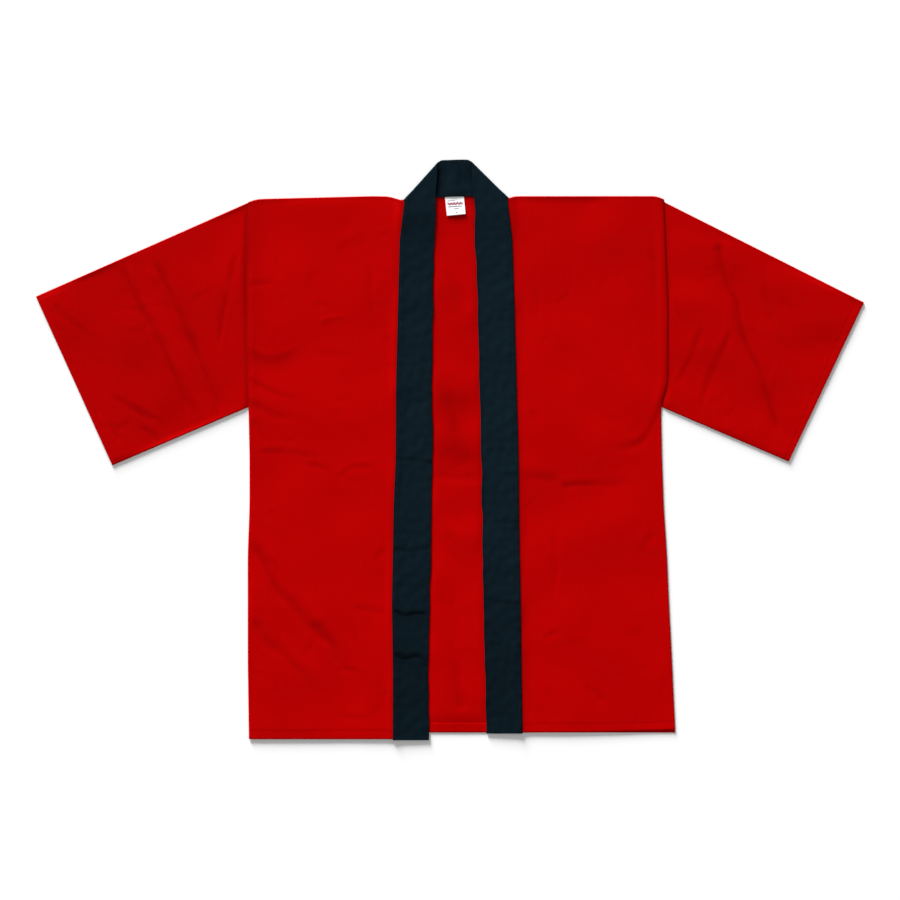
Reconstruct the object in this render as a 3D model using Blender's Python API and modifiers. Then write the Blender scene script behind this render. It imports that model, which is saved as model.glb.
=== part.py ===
"""A happi coat of red cotton with a black collar band, laid open on its back.

The pieces are those that are cut and sewn: a back, two fronts, two sleeves, one long collar strip
and a neck label. The back lies on the ground at z = 0 with its inside up. The collar points to +Y,
the wearer's left lies at +X and the wearer's right at -X. All sizes and tables are in millimetres,
and MM turns them into metres where a mesh is made.
"""

from collections import namedtuple
from math import cos, exp, hypot, pi, sin

import bmesh
import bpy

MM = 0.001

# Walls. Cloth that lies on cloth is a clearance above it.
CLOTH = 1.2
BAND = 2.4
TAPE = 1.0
GAP = 0.3
UPPER = CLOTH + GAP

# The body: height of the shoulder line, the underarm and the back's hem.
SHOULDER = 358.0
UNDERARM = 61.0
BACK_HEM = -406.0
ROW_STEP = 20.0
FRONT_COLUMNS = 13
TOP_REACH = 60.0

# Across the body, a row for each section: the side edge, the collar's seam and its free edge.
Station = namedtuple("Station", "y side seam free")

WEARERS_RIGHT = (
    Station(SHOULDER, -289.5, -67.0, -20.0),
    Station(330, -291.0, -71.0, -22.0),
    Station(212, -291.5, -74.0, -24.5),
    Station(92, -291.5, -77.0, -26.0),
    Station(UNDERARM, -289.0, -77.0, -25.5),
    Station(-12, -287.5, -77.5, -25.0),
    Station(-82, -287.5, -80.5, -27.0),
    Station(-150, -290.0, -81.5, -27.5),
    Station(-220, -290.0, -83.0, -29.0),
    Station(-306, -290.0, -81.5, -31.5),
    Station(-415.5, -288.5, -81.5, -30.0),
)
WEARERS_LEFT = (
    Station(SHOULDER, 307.0, 84.0, 33.0),
    Station(330, 308.5, 88.0, 35.5),
    Station(212, 313.5, 92.0, 39.5),
    Station(92, 313.0, 95.0, 42.5),
    Station(UNDERARM, 302.5, 96.0, 43.5),
    Station(-12, 304.0, 98.0, 45.5),
    Station(-82, 306.5, 98.5, 46.0),
    Station(-150, 311.0, 99.5, 47.0),
    Station(-220, 314.0, 101.0, 48.0),
    Station(-306, 318.5, 102.0, 50.5),
    Station(-406, 323.0, 103.5, 52.5),
)

# Along the top, a row for each bend of the two shoulders and of the neckline between them.
Bend = namedtuple("Bend", "x y")
TOP = (
    Bend(-289.5, 354.8),
    Bend(-279, 358.6),
    Bend(-270, 359.5),
    Bend(-110, 363.5),
    Bend(-88, 363.0),
    Bend(-69, 357.5),
    Bend(-65.5, 355.5),
    Bend(-20, 359.8),
    Bend(8, 360.8),
    Bend(34, 359.8),
    Bend(82.5, 359.0),
    Bend(86, 361.0),
    Bend(92, 363.4),
    Bend(296, 363.5),
    Bend(307, 359.0),
)

# The hem of the wearer's left front rises a little towards the side.
LEFT_HEM_RISE = 4.5

# Each sleeve is one cloth folded along its top edge: the corners of its cuff, as x and y.
Cuff = namedtuple("Cuff", "top bottom")
RIGHT_CUFF = Cuff(top=(-594.0, 219.5), bottom=(-484.5, -22.5))
LEFT_CUFF = Cuff(top=(594.0, 211.0), bottom=(486.0, -17.0))
RIGHT_SLEEVE_TOP = 354.0
LEFT_SLEEVE_TOP = 355.0
SLEEVE_ROWS = 16
# The top fold of a sleeve leans 0.6 mm towards the body inside its wall, so its seam gap is wider.
ARMHOLE_GAP = 0.7
ROLL_STEPS = 6

# The collar: where it folds over at each side of the neck, and the y at which it starts to rise.
Corner = namedtuple("Corner", "seam free")
RIGHT_CORNER = Corner(seam=(-67.0, 358.0), free=(-14.0, 417.0))
LEFT_CORNER = Corner(seam=(84.0, 361.5), free=(30.0, 417.0))
RISE_START = 300.0
CORNER_ROWS = 3
NECK_ROWS = 6
NECK_BOW = 5.0
FREE_BOW = 1.5
COLLAR_COLUMNS = 2
RIGHT_BAND_END = -417.0
LEFT_BAND_END = -407.5

# The label hangs from the neck seam: its upper left corner, its size and its slant.
LABEL_CORNER = (-7.0, 360.3)
LABEL_WIDTH = 27.0
LABEL_DROP = 25.0
LABEL_SLANT = 2.5
LABEL_COLUMNS = 4

# The largest folds: a soft ridge along each stretch, with its height and half its width.
Fold = namedtuple("Fold", "piece x0 y0 x1 y1 height width")
FOLDS = (
    Fold("front_right", -289, 150, -240, 142, 3.0, 22),
    Fold("front_right", -240, 142, -160, 196, 3.0, 24),
    Fold("front_right", -280, -8, -110, -18, 2.2, 20),
    Fold("front_right", -280, -132, -205, -236, 4.0, 24),
    Fold("front_right", -205, -236, -120, -338, 3.2, 22),
    Fold("front_right", -272, -262, -186, -368, 2.8, 22),
    Fold("front_left", 298, 46, 226, 4, 3.2, 20),
    Fold("front_left", 104, -36, 262, -46, 3.0, 20),
    Fold("front_left", 292, 310, 297, 200, 2.0, 20),
    Fold("sleeve_right", -462, 250, -372, 56, 3.6, 22),
    Fold("sleeve_right", -414, 256, -334, 74, 3.2, 20),
    Fold("sleeve_left", 388, 282, 418, 180, 3.6, 22),
    Fold("sleeve_left", 418, 180, 466, 34, 3.4, 22),
    Fold("sleeve_left", 400, 166, 364, 72, 3.0, 20),
    Fold("sleeve_left", 358, 166, 330, 98, 2.4, 18),
)

RED_COTTON = (0.445, 0.001, 0.001, 1.0)
BLACK_COTTON = (0.005, 0.009, 0.013, 1.0)
WHITE_TAPE = (0.75, 0.73, 0.72, 1.0)
CLOTH_ROUGHNESS = 0.9


def between(a, b, share):
    """The value at this share of the way from a to b."""
    return a + (b - a) * share


def shares(count):
    """Even shares from 0 to 1, with this many steps."""
    return [step / count for step in range(count + 1)]


def point_between(a, b, share):
    return between(a[0], b[0], share), between(a[1], b[1], share)


def read(table, key, column, value):
    """The column of a table at this value of its key, straight between two rows."""
    rows = sorted(table, key=lambda row: getattr(row, key))
    value = min(max(value, getattr(rows[0], key)), getattr(rows[-1], key))
    for low, high in zip(rows, rows[1:]):
        if value <= getattr(high, key):
            share = (value - getattr(low, key)) / (getattr(high, key) - getattr(low, key))
            return between(getattr(low, column), getattr(high, column), share)


def levels(table, lowest, highest, longest):
    """Each row's y within these limits, and even levels between them no further apart than longest."""
    marks = sorted({lowest, highest} | {row.y for row in table if lowest < row.y < highest})
    found = [marks[0]]
    for low, high in zip(marks, marks[1:]):
        count = max(1, round((high - low) / longest))
        found += [between(low, high, share) for share in shares(count)[1:]]
    return found


def ridge(piece, x, y):
    """How far the folds of this piece lift the cloth at a point."""
    lift = 0.0
    for fold in FOLDS:
        if fold.piece != piece:
            continue
        run = (fold.x1 - fold.x0, fold.y1 - fold.y0)
        along = ((x - fold.x0) * run[0] + (y - fold.y0) * run[1]) / (run[0] ** 2 + run[1] ** 2)
        along = min(max(along, 0.0), 1.0)
        away = hypot(x - fold.x0 - along * run[0], y - fold.y0 - along * run[1])
        lift = max(lift, fold.height * exp(-((away / fold.width) ** 2)))
    return lift


def plain_material(name, colour):
    material = bpy.data.materials.new(name)
    material.use_nodes = True
    surface = material.node_tree.nodes["Principled BSDF"]
    surface.inputs["Base Color"].default_value = colour
    surface.inputs["Roughness"].default_value = CLOTH_ROUGHNESS
    surface.inputs["Metallic"].default_value = 0.0
    return material


def loft(name, sections, thickness, offset, material, ring=False):
    """A wall through sections of points: an open surface, or a tube of rings, with Solidify."""
    mesh = bpy.data.meshes.new(name)
    shape = bmesh.new()
    rows = [[shape.verts.new([value * MM for value in point]) for point in row] for row in sections]
    for row, following in zip(rows, rows[1:]):
        ends = list(zip(row, row[1:] + row[:1], following[1:] + following[:1], following))
        for corners in ends if ring else ends[:-1]:
            shape.faces.new(corners)
    shape.to_mesh(mesh)
    shape.free()
    mesh.materials.append(material)
    piece = bpy.data.objects.new(name, mesh)
    wall = piece.modifiers.new("wall", "SOLIDIFY")
    wall.thickness = thickness * MM
    wall.offset = offset
    wall.use_even_offset = True
    mesh.shade_smooth()
    COAT.objects.link(piece)
    return piece


def make_back(material):
    """One cloth from side to side, flat on the ground, its top cut to the shoulders and neckline."""
    widest = TOP[-1].x - TOP[0].x
    sections = []
    for y in levels(WEARERS_LEFT, BACK_HEM, SHOULDER, 4 * ROW_STEP):
        right = read(WEARERS_RIGHT, "y", "side", y)
        left = read(WEARERS_LEFT, "y", "side", y)
        xs = [between(right, left, (bend.x - TOP[0].x) / widest) for bend in TOP]
        sections.append([(x, shoulder_shift(x, y), 0.0) for x in xs])
    loft("back", sections, CLOTH, 1, material)


def shoulder_shift(x, y):
    """A section near the shoulder bends to follow the top edge, and one further down runs straight."""
    share = min(max((y - SHOULDER + TOP_REACH) / TOP_REACH, 0.0), 1.0)
    return y + share * (read(TOP, "x", "y", x) - SHOULDER)


def hem_shift(y, across, rise):
    """The hem of a front climbs by rise at its side edge, and sections further up run level."""
    share = min(max((BACK_HEM + TOP_REACH - y) / TOP_REACH, 0.0), 1.0)
    return rise * share * (1 - across) ** 2


def make_front(name, table, gap, rise, material):
    """A front lies on the back, from its side edge to the seam where the collar is sewn on."""
    sections = []
    for y in levels(table, table[-1].y, SHOULDER, ROW_STEP):
        side = read(table, "y", "side", y)
        seam = read(table, "y", "seam", y) + gap
        row = []
        for across in shares(FRONT_COLUMNS):
            x = between(side, seam, across)
            place = shoulder_shift(x, y) + hem_shift(y, across, rise)
            row.append((x, place, UPPER + ridge(name, x, y)))
        sections.append(row if gap < 0 else row[::-1])
    loft(name, sections, CLOTH, 1, material)


def sleeve_ring(length, over, under):
    """One ring of a flattened tube, as shares of its depth with heights: over its top and back below."""
    radius = (UPPER + CLOTH) / 2
    inset = radius / length
    upper = [inset] + over[1:-1] + [1 - inset]
    lower = [1 - inset] + under[-2:0:-1] + [inset]
    turns = [pi * step / ROLL_STEPS for step in range(1, ROLL_STEPS)]
    ring = [(share, 2 * radius) for share in upper]
    ring += [(1 - inset + inset * sin(turn), radius + radius * cos(turn)) for turn in turns]
    ring += [(share, 0.0) for share in lower]
    ring += [(inset - inset * sin(turn), radius - radius * cos(turn)) for turn in turns]
    return ring


def make_sleeve(name, table, cuff, gap, top, material):
    """A sleeve is a tube pressed flat, cut on the slant where it meets the side of the body."""
    over = [(top - y) / (top - UNDERARM) for y in levels(table, UNDERARM, top, ROW_STEP)[::-1]]
    under = [(top - y) / (top - UNDERARM) for y in levels(table, UNDERARM, top, top)[::-1]]
    sections = []
    for out in shares(SLEEVE_ROWS):
        upper = point_between((read(table, "y", "side", top), top), cuff.top, out)
        lower = point_between((read(table, "y", "side", UNDERARM), UNDERARM), cuff.bottom, out)
        length = hypot(upper[0] - lower[0], upper[1] - lower[1])
        row = []
        for share, height in sleeve_ring(length, over, under):
            y = between(top, UNDERARM, share)
            armhole = (read(table, "y", "side", y) + gap, y)
            x, y = point_between(armhole, point_between(cuff.top, cuff.bottom, share), out)
            lift = ridge(name, x, y) if height > UPPER else 0.0
            row.append((x, y, height + lift))
        sections.append(row[::-1] if gap < 0 else row)
    loft(name, sections, CLOTH, -1, material, ring=True)


def fold_axis(corner, outward):
    """The collar's corner fold, moved in from its outer edge by the fold's radius, and its direction."""
    run = (corner.free[0] - corner.seam[0], corner.free[1] - corner.seam[1])
    length = hypot(*run)
    away = (outward * run[1] / length, -outward * run[0] / length)
    inset = BAND + GAP / 2
    seam = (corner.seam[0] - away[0] * inset, corner.seam[1] - away[1] * inset)
    free = (corner.free[0] - away[0] * inset, corner.free[1] - away[1] * inset)
    return seam, free, away


def band_sections(table, end, corner, outward):
    """One front run of the collar from its end to the corner fold, and round the fold to the ground."""
    lower, middle, upper = BAND / 2, UPPER + BAND / 2, BAND + GAP + BAND / 2
    sections = []
    for y in levels(table, end, RISE_START, 3 * ROW_STEP):
        sections.append(((read(table, "y", "seam", y), y), (read(table, "y", "free", y), y), middle))
    seam, free, away = fold_axis(corner, outward)
    start = sections[-1]
    for share in shares(CORNER_ROWS)[1:]:
        sections.append((point_between(start[0], seam, share), point_between(start[1], free, share), upper))
    radius = (upper - lower) / 2
    for step in range(1, ROLL_STEPS + 1):
        turn = pi * step / ROLL_STEPS
        out = (away[0] * radius * sin(turn), away[1] * radius * sin(turn))
        height = lower + radius * (1 + cos(turn))
        sections.append(((seam[0] + out[0], seam[1] + out[1]), (free[0] + out[0], free[1] + out[1]), height))
    return sections


def neck_sections(first, last):
    """The collar behind the neck lies on the ground between the two folds, bowed along both edges."""
    sections = []
    for share in shares(NECK_ROWS)[1:-1]:
        bow = sin(pi * share)
        seam = point_between(first[0], last[0], share)
        free = point_between(first[1], last[1], share)
        sections.append(((seam[0], seam[1] + NECK_BOW * bow), (free[0], free[1] + FREE_BOW * bow), BAND / 2))
    return sections


def make_collar(material):
    """One strip: up the wearer's right front, folded over behind the neck, and down the left front."""
    right = band_sections(WEARERS_RIGHT, RIGHT_BAND_END, RIGHT_CORNER, -1)
    left = band_sections(WEARERS_LEFT, LEFT_BAND_END, LEFT_CORNER, 1)
    strip = right + neck_sections(right[-1], left[-1]) + left[::-1]
    sections = []
    for seam, free, height in strip:
        across = [point_between(seam, free, share) for share in shares(COLLAR_COLUMNS)]
        sections.append([(x, y, height) for x, y in across])
    loft("collar", sections, BAND, 0, material)


def make_label(material):
    """A small tape label on the back's inside, under the neck seam and slanting a little."""
    sections = []
    for down in shares(LABEL_COLUMNS):
        x = LABEL_CORNER[0] + LABEL_SLANT * down
        y = LABEL_CORNER[1] - LABEL_DROP * down
        sections.append([(x + LABEL_WIDTH * across, y, UPPER) for across in shares(LABEL_COLUMNS)])
    loft("label", sections[::-1], TAPE, 1, material)


for old in list(bpy.data.objects):
    bpy.data.objects.remove(old, do_unlink=True)

COAT = bpy.data.collections.new("happi_coat")
bpy.context.scene.collection.children.link(COAT)

red = plain_material("red_cotton", RED_COTTON)
black = plain_material("black_cotton", BLACK_COTTON)
white = plain_material("label_tape", WHITE_TAPE)

make_back(red)
make_front("front_right", WEARERS_RIGHT, -GAP, 0.0, red)
make_front("front_left", WEARERS_LEFT, GAP, LEFT_HEM_RISE, red)
make_sleeve("sleeve_right", WEARERS_RIGHT, RIGHT_CUFF, -ARMHOLE_GAP, RIGHT_SLEEVE_TOP, red)
make_sleeve("sleeve_left", WEARERS_LEFT, LEFT_CUFF, ARMHOLE_GAP, LEFT_SLEEVE_TOP, red)
make_collar(black)
make_label(white)
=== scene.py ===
# %% [markdown]
# # A happi coat, laid open on its back
#
# A happi is a short festival coat: straight panels of cotton, and one long black collar strip that
# runs up the wearer's right front, behind the neck and down the left front. This lesson dresses a
# fixed model of one. Seven plain solids are already the right size and in the right place, and each
# piece below is a thin shell of cloth on the form of one of them.
#
# The coat lies on its back. The collar points to +Y, the wearer's left is at +X, and z = 0 is the
# surface under it. Lengths are in millimetres until a mesh is written, as in a cutting room.

# %% The fixed frame
from collections import namedtuple
from math import cos, pi, radians, sin

import bpy
import numpy as np
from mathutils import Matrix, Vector


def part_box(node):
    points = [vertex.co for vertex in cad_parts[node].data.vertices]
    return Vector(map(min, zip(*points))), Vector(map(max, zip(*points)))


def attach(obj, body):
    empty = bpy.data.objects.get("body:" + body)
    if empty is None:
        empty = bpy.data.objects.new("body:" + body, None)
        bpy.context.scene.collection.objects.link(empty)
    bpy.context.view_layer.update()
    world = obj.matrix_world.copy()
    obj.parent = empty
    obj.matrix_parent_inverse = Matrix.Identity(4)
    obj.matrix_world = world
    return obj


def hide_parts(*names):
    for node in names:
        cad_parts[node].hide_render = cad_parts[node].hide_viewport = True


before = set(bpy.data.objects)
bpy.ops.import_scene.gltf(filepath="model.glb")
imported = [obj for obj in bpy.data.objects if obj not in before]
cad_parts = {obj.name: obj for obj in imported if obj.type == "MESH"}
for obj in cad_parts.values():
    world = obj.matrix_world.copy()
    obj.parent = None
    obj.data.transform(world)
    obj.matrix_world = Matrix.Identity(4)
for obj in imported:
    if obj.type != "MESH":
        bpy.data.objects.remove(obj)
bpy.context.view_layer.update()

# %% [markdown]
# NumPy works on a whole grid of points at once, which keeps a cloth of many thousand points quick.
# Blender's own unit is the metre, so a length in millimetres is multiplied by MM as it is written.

MM = 0.001
print("frame nodes:", ", ".join(sorted(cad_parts)))

# %% [markdown]
# ## The studio
#
# A garment for a catalogue lies on a pale sheet and is seen from straight above. A long lens far
# away keeps the edges of a flat thing free of perspective. The lens follows from similar triangles:
# it is to the sensor's width as the height of the camera is to the width of the view.

# %% The camera
CAMERA_HEIGHT = 5000.0
CAMERA_Y = -0.7
VIEW_WIDTH = 1292.0
SENSOR = 36.0


def make_camera():
    lens = bpy.data.cameras.new("camera")
    lens.sensor_width = SENSOR
    lens.lens = SENSOR * CAMERA_HEIGHT / VIEW_WIDTH
    camera = bpy.data.objects.new("camera", lens)
    camera.location = (0.0, CAMERA_Y * MM, CAMERA_HEIGHT * MM)
    bpy.context.scene.collection.objects.link(camera)
    bpy.context.scene.camera = camera


make_camera()
print("lens in mm:", round(bpy.context.scene.camera.data.lens, 1))

# %% [markdown]
# The sheet under the coat is one large plane of matt, nearly white paper. It has no gloss at all,
# so that nothing on it draws the eye away from the cloth.

# %% The floor
FLOOR_SIDE = 12.0
FLOOR_WHITE = 0.93


def make_floor():
    bpy.ops.object.select_all(action="DESELECT")
    bpy.ops.mesh.primitive_plane_add(size=FLOOR_SIDE, location=(0, 0, 0))
    floor = bpy.context.object
    floor.name = "floor"
    paper = bpy.data.materials.new("pale_paper")
    paper.use_nodes = True
    surface = paper.node_tree.nodes["Principled BSDF"]
    surface.inputs["Base Color"].default_value = (FLOOR_WHITE, FLOOR_WHITE, FLOOR_WHITE, 1)
    surface.inputs["Roughness"].default_value = 1.0
    surface.inputs["Specular IOR Level"].default_value = 0.0
    floor.data.materials.append(paper)


make_floor()
print("floor width in m:", FLOOR_SIDE)

# %% [markdown]
# Creases in plain cotton only show when light rakes over them, so a broad soft key light comes in
# low from the collar's side, a little from the left. It also gives the coat a soft shadow. The
# world gives the rest, evenly from all round.

# %% The light
KEY_FROM = Vector((-0.34, 0.94, 0.0)).normalized()
KEY_ELEVATION = radians(11)
KEY_SOFTNESS = radians(18)
KEY_STRENGTH = 11.4
SKY_STRENGTH = 0.41


def make_light():
    key = bpy.data.lights.new("key", "SUN")
    key.energy = KEY_STRENGTH
    key.angle = KEY_SOFTNESS
    lamp = bpy.data.objects.new("key", key)
    level = KEY_FROM * cos(KEY_ELEVATION)
    source = Vector((level.x, level.y, sin(KEY_ELEVATION)))
    lamp.rotation_mode = "QUATERNION"
    lamp.rotation_quaternion = source.to_track_quat("Z", "Y")
    bpy.context.scene.collection.objects.link(lamp)
    world = bpy.data.worlds.new("studio")
    world.use_nodes = True
    backdrop = world.node_tree.nodes["Background"]
    backdrop.inputs["Color"].default_value = (1, 1, 1, 1)
    backdrop.inputs["Strength"].default_value = SKY_STRENGTH
    bpy.context.scene.world = world


make_light()
bpy.context.scene.view_settings.view_transform = "Standard"
print("key light, degrees above the floor:", round(KEY_ELEVATION / radians(1)))

# %% [markdown]
# ## Outlines from the frame
#
# A pattern cutter's lines are the side seams, the collar seams and the shoulder. They are read from
# the frame's solids rather than typed again: an edge of a solid is cut at a level of x or y, and the
# lowest or highest cut is the outline there. A solid made of short straight stretches has slight
# corners, so each line is averaged over a few centimetres, which gives the soft run of real cloth.

# %% Reading a line from a solid
LEVEL_STEP = 4.0
INSIDE = 0.05


def edges_of(node):
    """Both ends of every edge of a frame node, in millimetres."""
    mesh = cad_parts[node].data
    points = np.array([vertex.co for vertex in mesh.vertices]) / MM
    ends = np.array([edge.vertices[:] for edge in mesh.edges])
    return points[ends[:, 0]], points[ends[:, 1]]


EDGES = {name: edges_of(name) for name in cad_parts}


def crossings(node, axis, level):
    """Where a node's edges cross a level of x (axis 0) or of y (axis 1), on the other axis."""
    start, end = EDGES[node]
    low = min(start[:, axis].min(), end[:, axis].min()) + INSIDE
    high = max(start[:, axis].max(), end[:, axis].max()) - INSIDE
    level = min(max(level, low), high)
    cut = (start[:, axis] - level) * (end[:, axis] - level) < 0
    share = (level - start[cut, axis]) / (end[cut, axis] - start[cut, axis])
    return start[cut, 1 - axis] + (end[cut, 1 - axis] - start[cut, 1 - axis]) * share


def averaged(values, reach):
    """Values at even steps, each averaged with this many neighbours to either side."""
    if reach < 1:
        return values
    weights = np.hanning(2 * reach + 3)[1:-1]
    before = 2 * values[0] - values[reach:0:-1]
    after = 2 * values[-1] - values[-2:-reach - 2:-1]
    return np.convolve(np.concatenate([before, values, after]), weights / weights.sum(), "valid")


def outline(node, axis, pick, low, high, reach=5, keep=None):
    """A smooth outline of a node as a function of y (axis 1) or x (axis 0)."""
    levels = np.linspace(low, high, round((high - low) / LEVEL_STEP) + 1)
    found = []
    for level in levels:
        places = crossings(node, axis, level)
        found.append(pick(places[keep(places)] if keep else places))
    found = averaged(np.array(found), reach)
    return lambda value: np.interp(value, levels, found)


print("edges of the back's solid:", len(EDGES["back"][0]))

# %% [markdown]
# Each line of this coat is then one call. The levels where a line starts and ends keep clear of the
# solid's corners, where another line takes over.

# %% The coat's own lines
SHOULDER = 358.0
UNDERARM = 61.0
BACK_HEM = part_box("back")[0].y / MM
RIGHT_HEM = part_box("front_right")[0].y / MM
LEFT_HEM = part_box("front_left")[0].y / MM
MIDDLE = 8.0

top_line = outline("back", 0, np.max, -289.0, 306.5, reach=1)
left_hem_line = outline("front_left", 0, np.min, 105.0, 316.0)
right_side = outline("front_right", 1, np.min, RIGHT_HEM, SHOULDER - 5)
right_seam = outline("front_right", 1, np.max, RIGHT_HEM, SHOULDER - 9)
left_side = outline("back", 1, np.max, BACK_HEM, SHOULDER - 1)
left_seam = outline("front_left", 1, np.min, LEFT_HEM, SHOULDER - 9)
right_free = outline("collar", 1, np.max, -416.0, 300.0, keep=lambda xs: xs < MIDDLE)
left_free = outline("collar", 1, np.min, -407.0, 300.0, keep=lambda xs: xs > MIDDLE)
print("body width at the chest in mm:", round(float(left_side(150) - right_side(150)), 1))
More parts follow.
